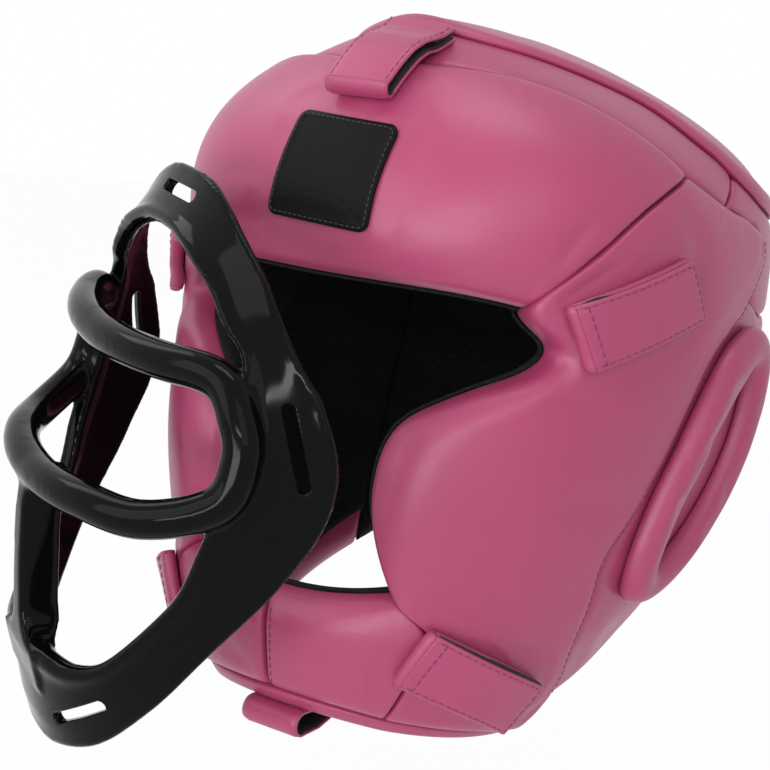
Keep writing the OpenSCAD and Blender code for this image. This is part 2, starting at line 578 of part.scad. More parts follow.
// Edges of the shell as [angle, height], from the middle of the top to the middle of the chin
CAGE_OUTER = [[0, 106.5], [9, 105.2], [19.5, 98.5], [33.5, 84.8], [42, 72], [50.5, 56.5], [56, 46], [61, 28],
    [61.5, 8], [57, -15], [48, -40], [38, -65], [26, -84], [10, -93], [0, -95]];
CAGE_INNER = [[0, 87], [6, 86], [14, 82], [24, 75], [32, 65], [38, 58], [42, 46], [44, 28], [44, 10], [42, -15],
    [37, -31], [27, -50], [18, -56], [9, -56], [0, -56]];
// Line of the brow and nose bars: angle, height, and how far it stands out as a share of bar_out
CAGE_BAR = [[0, 51, -0.9], [20, 51.5, -0.7], [36, 50, 0.1], [43.5, 38, 0.8], [46, 27, 1], [44.5, 13, 1.2],
    [32.5, 4, 0.8], [17.5, 3.5, 0.2], [0, 2, -0.2]];
function around_loop(pts, turn) =
    let (t = abs(turn), p = through(pts, t))
    [sign(turn) * p[0], p[1], len(p) > 2 ? p[2] : 0];
// Section across the shell: share from the inner edge, height of the face outside, height of the face inside
function cage_section() = [[0, 0.8, -cage_wall - 0.8], [0.1, 2.8, -cage_wall - 2], [0.24, 0.6, -cage_wall],
    [0.6, 0, -cage_wall], [0.93, 0, -cage_wall], [1, -1, -cage_wall + 1]];

module cage_shell() {
    around = 60;
    section = cage_section();
    m = len(section);
    function shell_point(i, k) =
        let (turn = 2 * i / around - 1, near = around_loop(CAGE_INNER, turn), far = around_loop(CAGE_OUTER, turn),
            q = section[k < m ? k : 2 * m - 1 - k], p = near + (far - near) * q[0])
        on_cage([p[0], p[1]], k < m ? q[1] : q[2]);
    points = [for (i = [0 : around - 1], k = [0 : 2 * m - 1]) shell_point(i, k)];
    ring_solid(points, around, 2 * m);
}
module ring_solid(points, around, n) {
    faces = [for (i = [0 : around - 1], k = [0 : n - 1])
        let (a = i * n + k, b = i * n + (k + 1) % n,
            c = (i + 1) % around * n + (k + 1) % n, d = (i + 1) % around * n + k)
        each cell(d, c, b, a)];
    polyhedron(points, faces);
}
module cage_bar() {
    around = 44;
    over = 8;
    function line_at(i) =
        let (p = around_loop(CAGE_BAR, 2 * (i % around) / around - 1))
        on_cage([p[0], p[1]], p[2] * bar_out);
    function bar_point(i, k) =
        let (p = around_loop(CAGE_BAR, 2 * i / around - 1), n = cage_out([p[0], p[1]]),
            along = unit(line_at(i + 1) - line_at(i + around - 1)), side = unit(cross(n, along)), b = -360 * k / over)
        line_at(i) + bar_d / 2 * (side * cos(b) + n * sin(b));
    points = [for (i = [0 : around - 1], k = [0 : over - 1]) bar_point(i, k)];
    ring_solid(points, around, over);
}
module cage_strut() {
    heights = [for (k = [0 : 6]) 3 - 10.5 * k];
    function strut_point(s, w, h) = cage_skin([0, s]) + [(w - 0.5) * strut_w, -h, 0];
    strap(function (s, w, h) strut_point(s, w, h),
        [for (z = heights) [z, 2.5]], [for (z = heights) [z, 2.5 - strut_depth]], 1);
}
// Ends of the strap slots as [angle, height], then mirrored for the right side
CAGE_SLOTS = [[[50.5, 44.5], [57, 20.5]], [[12, -81], [29.5, -64.5]]];
module cage_slot(a, b) {
    x = unit(cage_skin(b) - cage_skin(a));
    n = cage_out((a + b) / 2);
    y = cross(n, x);
    m = cage_skin((a + b) / 2);
    multmatrix([[x[0], y[0], n[0], m[0]], [x[1], y[1], n[1], m[1]], [x[2], y[2], n[2], m[2]], [0, 0, 0, 1]])
        linear_extrude(height = 6 * cage_wall, center = true) {
            square([slot_l - slot_w, slot_w], center = true);
            for (e = [-1, 1]) translate([e * (slot_l - slot_w) / 2, 0]) circle(d = slot_w, $fn = 12);
        }
}
module cage_worn() {
    difference() {
        union() {
            cage_shell();
            cage_bar();
            cage_strut();
        }
        cage_slot([-6.3, 98], [6.3, 98]);
        for (s = CAGE_SLOTS, right = [false, true]) both_sides(right) cage_slot(s[0], s[1]);
    }
}
// Where the cage rests, taken off the guard: turned about CAGE_PIVOT and then moved
CAGE_PIVOT = [0, -110, 15];
CAGE_TURN = [3.05, 4.88, -28.84];
CAGE_MOVE = [-31.8, -47.9, -22.8];
module face_cage() {
    color(BLACK) translate(CAGE_PIVOT + CAGE_MOVE) rotate(CAGE_TURN) translate(-CAGE_PIVOT) cage_worn();
}

forehead_pad();
side_pad_left();
side_pad_right();
chin_pad_left();
chin_pad_right();
lower_band();
ear_pad_left();
ear_pad_right();
neck_panel_left();
neck_panel_right();
crown_panel();
crown_binding();
gusset_front();
gusset_rear_left();
gusset_rear_right();
rear_pad_left();
rear_pad_right();
lining_forehead();
lining_side_left();
lining_side_right();
lining_crown();
lining_rear_left();
lining_rear_right();
badge();
forehead_tab_base();
temple_tab_base_left();
temple_tab_base_right();
jaw_tab_base_left();
jaw_tab_base_right();
chin_tab_base();
forehead_flap();
temple_flap_left();
temple_flap_right();
jaw_flap_left();
jaw_flap_right();
chin_flap();
rear_loop_patch();
rear_strap();
face_cage();
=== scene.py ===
"""A padded full-face headguard of synthetic leather, with its moulded face cage taken off beside it.

The pads, the lining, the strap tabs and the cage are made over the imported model, in the same places.
Measurements are in millimetres, and a mesh turns to metres when its points are placed. Only the floor
and the lamps are given in metres.
"""
import math

import bmesh
import bpy
import numpy as np
from mathutils import Matrix, Vector
from mathutils.bvhtree import BVHTree


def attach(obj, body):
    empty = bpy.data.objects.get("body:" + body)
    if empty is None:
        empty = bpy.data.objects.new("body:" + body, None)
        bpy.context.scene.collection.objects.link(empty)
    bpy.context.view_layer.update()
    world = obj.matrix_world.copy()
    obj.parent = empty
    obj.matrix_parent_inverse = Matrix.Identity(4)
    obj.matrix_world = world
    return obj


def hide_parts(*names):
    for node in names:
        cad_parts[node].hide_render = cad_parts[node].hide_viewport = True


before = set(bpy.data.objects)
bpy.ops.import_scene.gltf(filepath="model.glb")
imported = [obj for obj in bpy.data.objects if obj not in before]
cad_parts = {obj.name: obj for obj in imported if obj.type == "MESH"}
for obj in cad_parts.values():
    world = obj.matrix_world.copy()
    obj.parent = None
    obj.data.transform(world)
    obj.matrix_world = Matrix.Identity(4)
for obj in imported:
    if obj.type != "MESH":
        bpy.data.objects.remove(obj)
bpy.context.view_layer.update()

MM = 0.001

# Sizes of the guard
GUARD_HALF_W = 106
GUARD_FRONT = 125
GUARD_BACK = 108
CROWN_H = 145
JAW_DROP = 122
PAD_T = 26
CHIN_T = 20
CROWN_T = 14
GUSSET_T = 6
PAD_RISE = 4
PAD_SWELL = 0.6
SEAM_GAP = 0.7
LINING_T = 1.5
LINING_OFF = 0.3
BAND_H = 7
BINDING_W = 8
BINDING_H = 2
BINDING_SEAT = 2.9
UNDER_BINDING = 0.5
REAR_SPLIT = 10

# Sizes of the ear pads, the tabs, the badge and the rear closure
EAR_HALF_H = 42
EAR_HALF_W = 16.6
EAR_ROLL = 7.2
EAR_RISE = 9
EAR_LEAN = math.radians(14)
EAR_ANGLE = 90.4
EAR_LEVEL = -9
TAB_W = 25
TAB_T = 2
HOOK_T = 1
TAB_GAP = 0.5
BADGE_W = 41
BADGE_H = 34
BADGE_T = 1.2
STRAP_W = 45
STRAP_L = 110
BROW_FOLD = 2.7
CHIN_FOLD = 4.2

# Sizes of the face cage
CAGE_HALF_W = 98
CAGE_FRONT = 154
CAGE_UP = 106
CAGE_DOWN = 95
CAGE_WALL = 3.6
BAR_D = 13
BAR_OUT = 3
STRUT_W = 10
STRUT_DEPTH = 14
STRUT_FILLET = 13
SLOT_W = 4.5
SLOT_L = 29
CAGE_ROUND = 2.5

# The camera stands where the photograph was taken from
AZIMUTH = math.radians(33.76)
ELEVATION = math.radians(8.96)
ROLL = math.radians(6.51)
DISTANCE = 750
TARGET = Vector((-44.71, 0, -5.8))
FOCAL_PX = 1778.13
PICTURE_PX = 770
SENSOR_MM = 36


def place_camera():
    back = Vector((math.sin(AZIMUTH) * math.cos(ELEVATION), -math.cos(AZIMUTH) * math.cos(ELEVATION),
                   math.sin(ELEVATION)))
    level = Vector((math.cos(AZIMUTH), math.sin(AZIMUTH), 0))
    upward = back.cross(level)
    right = level * math.cos(ROLL) + upward * math.sin(ROLL)
    up = upward * math.cos(ROLL) - level * math.sin(ROLL)
    data = bpy.data.cameras.new("camera")
    data.sensor_width = SENSOR_MM
    data.lens = FOCAL_PX / PICTURE_PX * SENSOR_MM
    camera = bpy.data.objects.new("camera", data)
    bpy.context.scene.collection.objects.link(camera)
    turn = Matrix((right, up, back)).transposed().to_4x4()
    camera.matrix_world = Matrix.Translation((TARGET + back * DISTANCE) * MM) @ turn
    bpy.context.scene.camera = camera


place_camera()

# The guard's outer form: levels, then shares of the guard's sizes, and the roundness of its plan
LEVEL, WIDTH, FRONT, BACK, CENTRE, ROUNDNESS = range(6)
PROFILE = [
    [-100, 0.52, 0.82, 0.07, -0.42, 2.1], [-86, 0.65, 0.92, 0.26, -0.37, 2.1],
    [-70, 0.755, 0.975, 0.44, -0.29, 2.1], [-45, 0.88, 1.015, 0.65, -0.145, 2.1],
    [-16, 0.955, 1.04, 0.83, -0.03, 2.2], [14, 1, 1, 0.98, 0, 2.25], [38, 0.99, 0.975, 1.02, 0, 2.35],
    [55, 0.97, 0.96, 0.925, 0, 2.5], [69, 0.895, 0.89, 0.74, -0.016, 2.55],
    [81, 0.71, 0.785, 0.50, -0.095, 2.5], [91, 0.435, 0.67, 0.24, -0.175, 2.4],
    [97, 0.19, 0.585, 0.04, -0.225, 2.3], [100, 0.03, 0.51, -0.11, -0.24, 2.3]]


def share(rows, t, column):
    """Smooth value of one column of a profile at the levels t."""
    rows = np.asarray(rows, float)
    t = np.asarray(t, float)
    last = len(rows) - 1
    levels = rows[:, LEVEL]
    i = np.clip(np.searchsorted(levels, t, side="right") - 1, 0, last - 1)
    values = rows[:, column]
    above = np.minimum(np.arange(last + 1) + 1, last)
    below = np.maximum(np.arange(last + 1) - 1, 0)
    slope = (values[above] - values[below]) / (levels[above] - levels[below])
    h = levels[i + 1] - levels[i]
    s = (t - levels[i]) / h
    return ((2 * s ** 3 - 3 * s ** 2 + 1) * values[i] + (s ** 3 - 2 * s ** 2 + s) * h * slope[i]
            + (3 * s ** 2 - 2 * s ** 3) * values[i + 1] + (s ** 3 - s ** 2) * h * slope[i + 1])


def through(points, t):
    """Smooth curve through given points, t from 0 to 1."""
    points = np.asarray(points, float)
    n = len(points) - 1
    t = np.clip(np.asarray(t, float), 0, 1)
    i = np.minimum(np.floor(t * n).astype(int), n - 1)
    s = t * n - i
    if points.ndim > 1:
        s = s[..., None]
    a = points[np.maximum(i - 1, 0)]
    b = points[i]
    c = points[i + 1]
    d = points[np.minimum(i + 2, n)]
    return b + 0.5 * s * ((c - a) + s * ((2 * a - 5 * b + 4 * c - d) + s * (3 * (b - c) + d - a)))


def stack(*parts):
    return np.stack(np.broadcast_arrays(*parts), axis=-1)


def unit(v):
    return v / np.maximum(np.linalg.norm(v, axis=-1, keepdims=True), 1e-9)


def skin(a, t):
    """Point of the guard's outer form at an angle from the face, left positive, and a level. Levels are in
    percent of the crown's height or, below 0, of the jaw's drop, and a roundness of 2 is an ellipse."""
    e = 2 / share(PROFILE, t, ROUNDNESS)
    a = np.radians(a)
    w = share(PROFILE, t, WIDTH) * GUARD_HALF_W
    f = share(PROFILE, t, FRONT) * GUARD_FRONT
    b = share(PROFILE, t, BACK) * GUARD_BACK
    c = share(PROFILE, t, CENTRE) * GUARD_FRONT
    x = w * np.sign(np.sin(a)) * np.abs(np.sin(a)) ** e
    y = c + np.where(np.cos(a) > 0, -(f + c), b - c) * np.abs(np.cos(a)) ** e
    z = np.where(np.asarray(t) >= 0, np.asarray(t) / 100 * CROWN_H, np.asarray(t) / 100 * JAW_DROP)
    return stack(x, y, z)


def skin_out(a, t):
    """Direction outwards from the form."""
    s = 1.5
    return unit(np.cross(skin(a + s, t) - skin(a - s, t), skin(a, t + s) - skin(a, t - s)))


def on_skin(at, out):
    """Points at a height over the form. at holds angles and levels."""
    a = at[..., 0]
    t = at[..., 1]
    return skin(a, t) + np.asarray(out)[..., None] * skin_out(a, t)


def angle_at(x, t):
    """Angle at which the form has a distance x from the middle plane, near the front."""
    across = np.abs(x) / (share(PROFILE, t, WIDTH) * GUARD_HALF_W)
    return np.degrees(np.sign(x) * np.arcsin(np.minimum(across, 1) ** (share(PROFILE, t, ROUNDNESS) / 2)))


# Seams and edges of the pads as angle and level on the left side, from below upwards
SEAM = [[41, 33], [53, 47], [65, 58.5], [78, 67]]
CHIN_JOINT = [[34, -86], [37, -72], [38, -57], [28, -47]]
FACE_EDGE = [[21, -31], [18.3, -14], [20, 2], [31, 11], [43.5, 17.5], [48, 24]]
SIDE_FRONT = CHIN_JOINT + FACE_EDGE + SEAM
SIDE_REAR = [[88, -92], [88, -84], [84, -74], [77, -60], [73, -45], [71.5, -33], [75, -18], [77, -4],
             [80, 11], [84, 22], [91, 31], [95, 38], [99, 47], [96.5, 54.5]]
CROWN_FRONT = [[0, 95.5], [22, 95.2], [40, 94], [58, 92.3], [70, 90.3], [80, 87.3], [87, 83],
               [89.5, 75.2], [92, 68.3]]
CROWN_REAR = [[97, 64], [103, 60.5], [113, 58], [127, 56], [145, 55], [163, 54.5], [180, 54.5]]
CROWN_EDGE = CROWN_FRONT + CROWN_REAR
REAR_LOW = [[88.8, 60.2], [92.8, 57.2], [98, 55.4], [100.3, 47.3], [96.2, 38.5], [107, 31.9],
            [127, 31.9]]
REAR_HIGH = [[92.3, 67.6], [97, 64], [102, 60.8], [107, 59.3], [113, 58], [120, 57], [127, 56]]
NECK_TUCK = 0.1
NECK_FRONT = [[a - NECK_TUCK, t] for a, t in SIDE_REAR[:11]]
NECK_END = 127
NECK_REAR = [[NECK_END, t] for t in (-69, -61, -52, -42, -32, -22, -12, -2, 9, 20, 31)]
CHIN_LOW = -83
CHIN_TALL = 32
BAND_SPAN = 176

# The seams as angles: the whole gap, and what the pads keep of it at the face opening and elsewhere
GAP_ANGLE = math.degrees(SEAM_GAP / GUARD_FRONT)
OPENING_APART = 0.35 * GAP_ANGLE
PADS_APART = 0.25 * GAP_ANGLE


def shifted(at, angle, level=0.0):
    return stack(at[..., 0] + angle, at[..., 1] + level)


def side_place(u, v):
    """Side pad: u from the face opening back to the ear, v from the jaw up to the crown."""
    front = through(SIDE_FRONT, v)
    rear = through(SIDE_REAR, v)
    apart = np.where(u < 0.5, OPENING_APART * (1 - 2 * u), 0)
    return shifted(front + (rear - front) * u[..., None], apart)


def forehead_low(s):
    return 35.5 - 2.5 * np.abs(s) ** 3


def forehead_top(s):
    return 86.5 - 1.5 * s ** 2 - 18 * np.abs(s) ** 5


def forehead_place(u, v):
    """Forehead pad: u from the right end to the left one, v from the brow up."""
    s = 2 * u - 1
    seam = through(SEAM, v)
    k = (seam[..., 1] - SEAM[0][1]) / (SEAM[3][1] - SEAM[0][1])
    low = forehead_low(s)
    return stack(s * (seam[..., 0] - PADS_APART), low + (forehead_top(s) - low) * k)


def chin_place(u, v):
    """Chin pad: u from the middle seam to the side pad, v upwards."""
    joint = through(CHIN_JOINT, v)
    across = joint[..., 0] - PADS_APART - GAP_ANGLE / 2
    middle = CHIN_LOW + CHIN_TALL * v
    return stack(GAP_ANGLE / 2 + across * u, middle + (joint[..., 1] - middle) * u ** 2)


def pads_low(a):
    """Level of the lower edge of the chin and side pads."""
    a = np.abs(a)
    return np.where(a < 34, -83 - 3 * (a / 34) ** 2, -86 - 6 * (a - 34) / 54)


def band_place(u, v):
    """Lower band: u from right to left, v upwards, and it narrows towards both ends."""
    a = BAND_SPAN * (u - 0.5)
    top = pads_low(a) - 100 * SEAM_GAP * 1.3 / JAW_DROP
    narrowed = 1 - 0.6 * (2 * a / BAND_SPAN) ** 2
    return stack(a, top - 100 * BAND_H / JAW_DROP * narrowed * (1 - v))


def pads_high(a):
    """Level of the upper edge of the forehead and side pads."""
    a = np.abs(a)
    return np.where(a < 78, forehead_top(a / 78), 67 - 12.5 * (a - 78) / 18.5)


def folded(points, s):
    """A line of one side carried on over the middle plane: s from -1 through 0 to 1."""
    p = through(points, np.abs(s))
    p[..., 0] = np.sign(s) * p[..., 0]
    return p


def gusset_place(u, v):
    """Front gusset: u from right to left, v from the pads up under the crown's binding."""
    s = 2 * u - 1
    a = 88.5 * s
    low = stack(a, pads_high(a) + 100 * SEAM_GAP / CROWN_H)
    return low + (shifted(folded(CROWN_FRONT, s), 0, UNDER_BINDING) - low) * v[..., None]


def gusset_rear_place(u, v):
    """Rear gusset: u from the side pad back, v from the neck panel up under the crown's binding."""
    low = through(REAR_LOW, u)
    return low + (shifted(through(REAR_HIGH, u), 0, UNDER_BINDING) - low) * v[..., None]


def neck_place(u, v):
    """Neck panel: u from the side pad back to the rear pad, v upwards. Its front corner reaches up."""
    front = through(NECK_FRONT, v)
    corner = np.interp(u, [0, 0.17, 0.46, 1], [1.5, 6.6, 0, 0]) * v ** 6
    return shifted(front + (through(NECK_REAR, v) - front) * u[..., None], 0, corner)


def rear_place(u, v):
    """Rear pad: u from the neck panel to the closure at the back, v from the nape up."""
    first = NECK_END + 0.4
    last = 180 - math.degrees(REAR_SPLIT / GUARD_BACK / 2)
    k = 1 - u
    nape = -50 - 18 * k ** 2
    top = 54.4 + UNDER_BINDING + 1.4 * k ** 2
    return stack(first + (last - first) * u, nape * (1 - v) + top * v)


def opening_share(v):
    """1 where a side pad borders the face opening, and 0 towards its ends."""
    return np.maximum(0, 1 - (np.abs(v - 0.5) / 0.29) ** 4)


def side_roll(v):
    return 0.035 + 0.185 * opening_share(v)


def side_wall(v):
    return 0.93 - 0.89 * opening_share(v)


SIDE_ROLLS = [side_roll, 0.07, 0.04, 0.05]
SIDE_WALLS = [side_wall, 0.5, 0.5, 0.6]


def fullness(s, roll, wall):
    """How full a pad is at a share s in from an edge. The roll is the share over which the edge rounds off,
    and the wall is the share of the thickness that stands at the edge."""
    inside = np.clip(1 - s / roll, 0, 1)
    return wall + (1 - wall) * np.sqrt(np.maximum(0, 1 - inside ** 2))


def value_at(rule, t):
    return rule(t) if callable(rule) else rule


def face_height(u, v, s, out, deep, rolls, walls, crown):
    """Height of a pad's outer face, s = 1, or its inner one, s = -1, over the guard's form. rolls and walls
    are for the edges at u = 0, u = 1, v = 0 and v = 1."""
    full = (fullness(u, value_at(rolls[0], v), value_at(walls[0], v))
            * fullness(1 - u, rolls[1], walls[1])
            * fullness(v, rolls[2], walls[2]) * fullness(1 - v, rolls[3], walls[3]))
    swell = np.where(np.asarray(s) > 0, crown * 16 * u * (1 - u) * v * (1 - v), 0)
    return (out - deep) / 2 + s * (out + deep) / 2 * full + swell


def side_height(u, v):
    return face_height(u, v, 1, PAD_RISE, PAD_T - PAD_RISE, SIDE_ROLLS, SIDE_WALLS, PAD_SWELL)


# Turning a mesh into a piece of the guard
HANDS = ("left", "right")


def object_from(bm, name):
    mesh = bpy.data.meshes.new(name)
    bm.to_mesh(mesh)
    bm.free()
    made = bpy.data.objects.new(name, mesh)
    bpy.context.scene.collection.objects.link(made)
    return made


def piece_from(bm, name, material, body, nodes=()):
    piece = object_from(bm, name)
    piece.data.materials.append(material)
    for face in piece.data.polygons:
        face.use_smooth = True
    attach(piece, body)
    if nodes:
        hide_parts(*nodes)
    return piece


def positions(bm):
    return np.array([vert.co[:] for vert in bm.verts])


def move_to(bm, points):
    """Places a mesh's points, given in millimetres."""
    for vert, point in zip(bm.verts, np.asarray(points, float) * MM):
        vert.co = point


def only_verts(geometry):
    return [part for part in geometry if isinstance(part, bmesh.types.BMVert)]


def applied(piece):
    """The piece's mesh with its modifiers worked in."""
    graph = bpy.context.evaluated_depsgraph_get()
    return bpy.data.meshes.new_from_object(piece.evaluated_get(graph))


def outward(bm):
    """Turns every face of a closed mesh outwards."""
    bmesh.ops.recalc_face_normals(bm, faces=bm.faces)
    if bm.calc_volume(signed=True) < 0:
        bmesh.ops.reverse_faces(bm, faces=bm.faces)
    bm.normal_update()
    return bm


def mirror_over(bm):
    bmesh.ops.scale(bm, vec=(-1, 1, 1), verts=bm.verts)
    bmesh.ops.reverse_faces(bm, faces=bm.faces)


def grid(nu, nv, z):
    """A mesh with one flat grid, x and y from 0 to 1."""
    bm = bmesh.new()
    bmesh.ops.create_grid(bm, x_segments=nu, y_segments=nv, size=0.5,
                          matrix=Matrix.Translation((0.5, 0.5, z)))
    return bm


def two_skins(nu, nv):
    """Two flat grids, the outer skin at z = 1 and the inner one at z = -1, joined round their edges."""
    bm = grid(nu, nv, 1)
    copy = bmesh.ops.duplicate(bm, geom=bm.verts[:] + bm.edges[:] + bm.faces[:])["geom"]
    low_faces = [part for part in copy if isinstance(part, bmesh.types.BMFace)]
    bmesh.ops.reverse_faces(bm, faces=low_faces)
    bmesh.ops.translate(bm, verts=only_verts(copy), vec=(0, 0, -2))
    rim = [edge for edge in bm.edges if edge.is_boundary]
    walls = bmesh.ops.bridge_loops(bm, edges=rim)["faces"]
    upright = {edge for face in walls for edge in face.edges
               if abs(edge.verts[0].co.z - edge.verts[1].co.z) > 1}
    bmesh.ops.subdivide_edges(bm, edges=list(upright), cuts=1, use_grid_fill=True)
    return outward(bm)


def ring(around, over):
    """A flat grid for close_ring: x runs once round the ring, and y runs once round its section."""
    return grid(around, over, 0)


def close_ring(bm):
    bmesh.ops.remove_doubles(bm, verts=bm.verts, dist=0.00001)
    bmesh.ops.dissolve_degenerate(bm, edges=bm.edges, dist=0.000001)
    return outward(bm)


def finer(piece):
    smooth = piece.modifiers.new("smooth cover", "SUBSURF")
    smooth.levels = 1
    smooth.render_levels = 1


def ripple(x, seed):
    """Gentle uneven waves between -1 and 1 along a seam, x in radians."""
    return (0.5 * np.sin(x + seed) + 0.3 * np.sin(1.7 * x + 2.1 * seed)
            + 0.2 * np.sin(2.9 * x + 0.7 * seed))


# Colours of the real materials, most with a second tone that they drift to
PINK = "#B0406B"
PINK_DEEP = "#A33964"
THREAD_PINK = "#6E2549"
THREAD_LIGHT = "#8A3A62"
BLACK_THREAD = "#1C1C20"
BLACK_THREAD_LIGHT = "#303036"
LINING_BLACK = "#101012"
LINING_LIGHT = "#1C1C1F"
TAPE_BLACK = "#0B0B0D"
TAPE_LIGHT = "#19191B"
PATCH_BLACK = "#08080A"
PATCH_LIGHT = "#101012"
CAGE_BLACK = "#060608"
CAGE_LIGHT = "#0A0A0C"
PALE_FLOOR = "#FFFFFF"
WHITE = (1, 1, 1, 1)


def linear(hex_colour):
    """sRGB hex colour as the linear values that a shader takes."""
    parts = [int(hex_colour[i:i + 2], 16) / 255 for i in (1, 3, 5)]
    return tuple(c / 12.92 if c <= 0.04045 else ((c + 0.055) / 1.055) ** 2.4 for c in parts) + (1.0,)


def feed(tree, node, inputs):
    """Gives a node's sockets their values, or links them to what another node gives."""
    for socket, value in inputs.items():
        if isinstance(value, bpy.types.NodeSocket):
            tree.links.new(value, node.inputs[socket])
        else:
            node.inputs[socket].default_value = value


def add_node(tree, kind, inputs=None, **settings):
    node = tree.nodes.new(kind)
    for name, value in settings.items():
        setattr(node, name, value)
    feed(tree, node, inputs or {})
    return node


def new_material(name):
    """A material with its tree, its shader and the place on the object that its patterns follow."""
    material = bpy.data.materials.new(name)
    material.use_nodes = True
    tree = material.node_tree
    place = add_node(tree, "ShaderNodeTexCoord").outputs["Object"]
    return material, tree, tree.nodes["Principled BSDF"], place


def per_mm(size):
    """Scale of a texture whose features are this many millimetres across."""
    return 1 / (size * MM)


def coated_leather(name, first, second):
    """Polyurethane-coated synthetic leather with a fine embossed grain: soft wide highlights, a tone that
    drifts a little from panel to panel, and slightly duller pores between the pebbles of the grain. The
    pebbles are drawn at 1.3 mm, coarser than the real ones, so that they show."""
    material, tree, shader, place = new_material(name)
    drift = add_node(tree, "ShaderNodeTexNoise", {"Vector": place, "Scale": per_mm(70), "Detail": 3.0})
    tone = add_node(tree, "ShaderNodeMix", {0: drift.outputs["Fac"], 6: linear(first), 7: linear(second)},
                    data_type="RGBA")
    pebbles = add_node(tree, "ShaderNodeTexVoronoi", {"Vector": place, "Scale": per_mm(1.3),
                                                      "Randomness": 1.0}, feature="SMOOTH_F1")
    pores = add_node(tree, "ShaderNodeTexNoise", {"Vector": place, "Scale": per_mm(0.7), "Detail": 2.0})
    depth = add_node(tree, "ShaderNodeMath", {0: pebbles.outputs["Distance"], 1: 0.7},
                     operation="MULTIPLY")
    relief = add_node(tree, "ShaderNodeMath", {0: pores.outputs["Fac"], 1: depth.outputs[0]},
                      operation="SUBTRACT")
    creases = add_node(tree, "ShaderNodeTexNoise", {"Vector": place, "Scale": per_mm(16), "Detail": 5.0,
                                                    "Roughness": 0.55})
    pull = add_node(tree, "ShaderNodeBump", {"Height": creases.outputs["Fac"], "Strength": 0.10,
                                             "Distance": 2.0 * MM})
    grain = add_node(tree, "ShaderNodeBump", {"Height": relief.outputs[0], "Strength": 0.16,
                                              "Distance": 0.3 * MM, "Normal": pull.outputs["Normal"]})
    gloss = add_node(tree, "ShaderNodeMapRange", {"Value": pores.outputs["Fac"], "To Min": 0.36,
                                                  "To Max": 0.47})
    feed(tree, shader, {"Base Color": tone.outputs[2], "Roughness": gloss.outputs["Result"],
                        "Normal": grain.outputs["Normal"], "IOR": 1.48, "Specular IOR Level": 0.65,
                        "Sheen Weight": 0.05, "Sheen Roughness": 0.4})
    return material


def knitted_lining(name, colour, light):
    """Warp-knitted polyester lining: dull black with a fine diagonal rib, hardly any highlight. The rib is
    drawn at nearly 3 mm, coarser than the real one, so that it shows."""
    material, tree, shader, place = new_material(name)
    warp = add_node(tree, "ShaderNodeTexWave", {"Vector": place, "Scale": per_mm(9), "Distortion": 0.6},
                    bands_direction="DIAGONAL")
    weft = add_node(tree, "ShaderNodeTexWave", {"Vector": place, "Scale": per_mm(9), "Distortion": 0.6},
                    bands_direction="Z")
    threads = add_node(tree, "ShaderNodeMath", {0: warp.outputs["Fac"], 1: weft.outputs["Fac"]},
                       operation="MULTIPLY")
    relief = add_node(tree, "ShaderNodeBump", {"Height": threads.outputs[0], "Strength": 0.4,
                                               "Distance": 0.3 * MM})
    fade = add_node(tree, "ShaderNodeMix", {0: threads.outputs[0], 6: linear(colour), 7: linear(light)},
                    data_type="RGBA")
    feed(tree, shader, {"Base Color": fade.outputs[2], "Normal": relief.outputs["Normal"],
                        "Roughness": 0.9, "Specular IOR Level": 0.25})
    return material


def hook_tape(name, colour, light):
    """Woven nylon hook tape: rows of tiny hooks that give a dull, speckled black."""
    material, tree, shader, place = new_material(name)
    hooks = add_node(tree, "ShaderNodeTexVoronoi", {"Vector": place, "Scale": per_mm(1.0)})
    tips = add_node(tree, "ShaderNodeMapRange", {"Value": hooks.outputs["Distance"], "From Max": 0.5,
                                                 "To Min": 1.0, "To Max": 0.0})
    tone = add_node(tree, "ShaderNodeMix", {0: tips.outputs["Result"], 6: linear(colour), 7: linear(light)},
                    data_type="RGBA")
    relief = add_node(tree, "ShaderNodeBump", {"Height": tips.outputs["Result"], "Strength": 0.6,
                                               "Distance": 0.5 * MM})
    feed(tree, shader, {"Base Color": tone.outputs[2], "Normal": relief.outputs["Normal"],
                        "Roughness": 0.75})
    return material


def spun_thread(name, colour, light):
    """Bonded polyester sewing thread with a slight twist, darker than what it is sewn through."""
    material, tree, shader, place = new_material(name)
    twist = add_node(tree, "ShaderNodeTexNoise", {"Vector": place, "Scale": per_mm(1.2), "Detail": 2.0})
    tone = add_node(tree, "ShaderNodeMix", {0: twist.outputs["Fac"], 6: linear(colour), 7: linear(light)},
                    data_type="RGBA")
    feed(tree, shader, {"Base Color": tone.outputs[2], "Roughness": 0.6})
    return material


def moulded_patch(name, colour, light):
    """Rubber patch pressed in a mould: satin black with a very fine net of raised cells."""
    material, tree, shader, place = new_material(name)
    cells = add_node(tree, "ShaderNodeTexVoronoi", {"Vector": place, "Scale": per_mm(0.9),
                                                    "Randomness": 0.1}, feature="DISTANCE_TO_EDGE")
    ridge = add_node(tree, "ShaderNodeMapRange", {"Value": cells.outputs["Distance"], "From Max": 0.12})
    tone = add_node(tree, "ShaderNodeMix", {0: ridge.outputs["Result"], 6: linear(light),
                                            7: linear(colour)}, data_type="RGBA")
    relief = add_node(tree, "ShaderNodeBump", {"Height": ridge.outputs["Result"], "Strength": 0.25,
                                               "Distance": 0.2 * MM})
    feed(tree, shader, {"Base Color": tone.outputs[2], "Normal": relief.outputs["Normal"],
                        "Roughness": 0.4, "Specular IOR Level": 0.09})
    return material


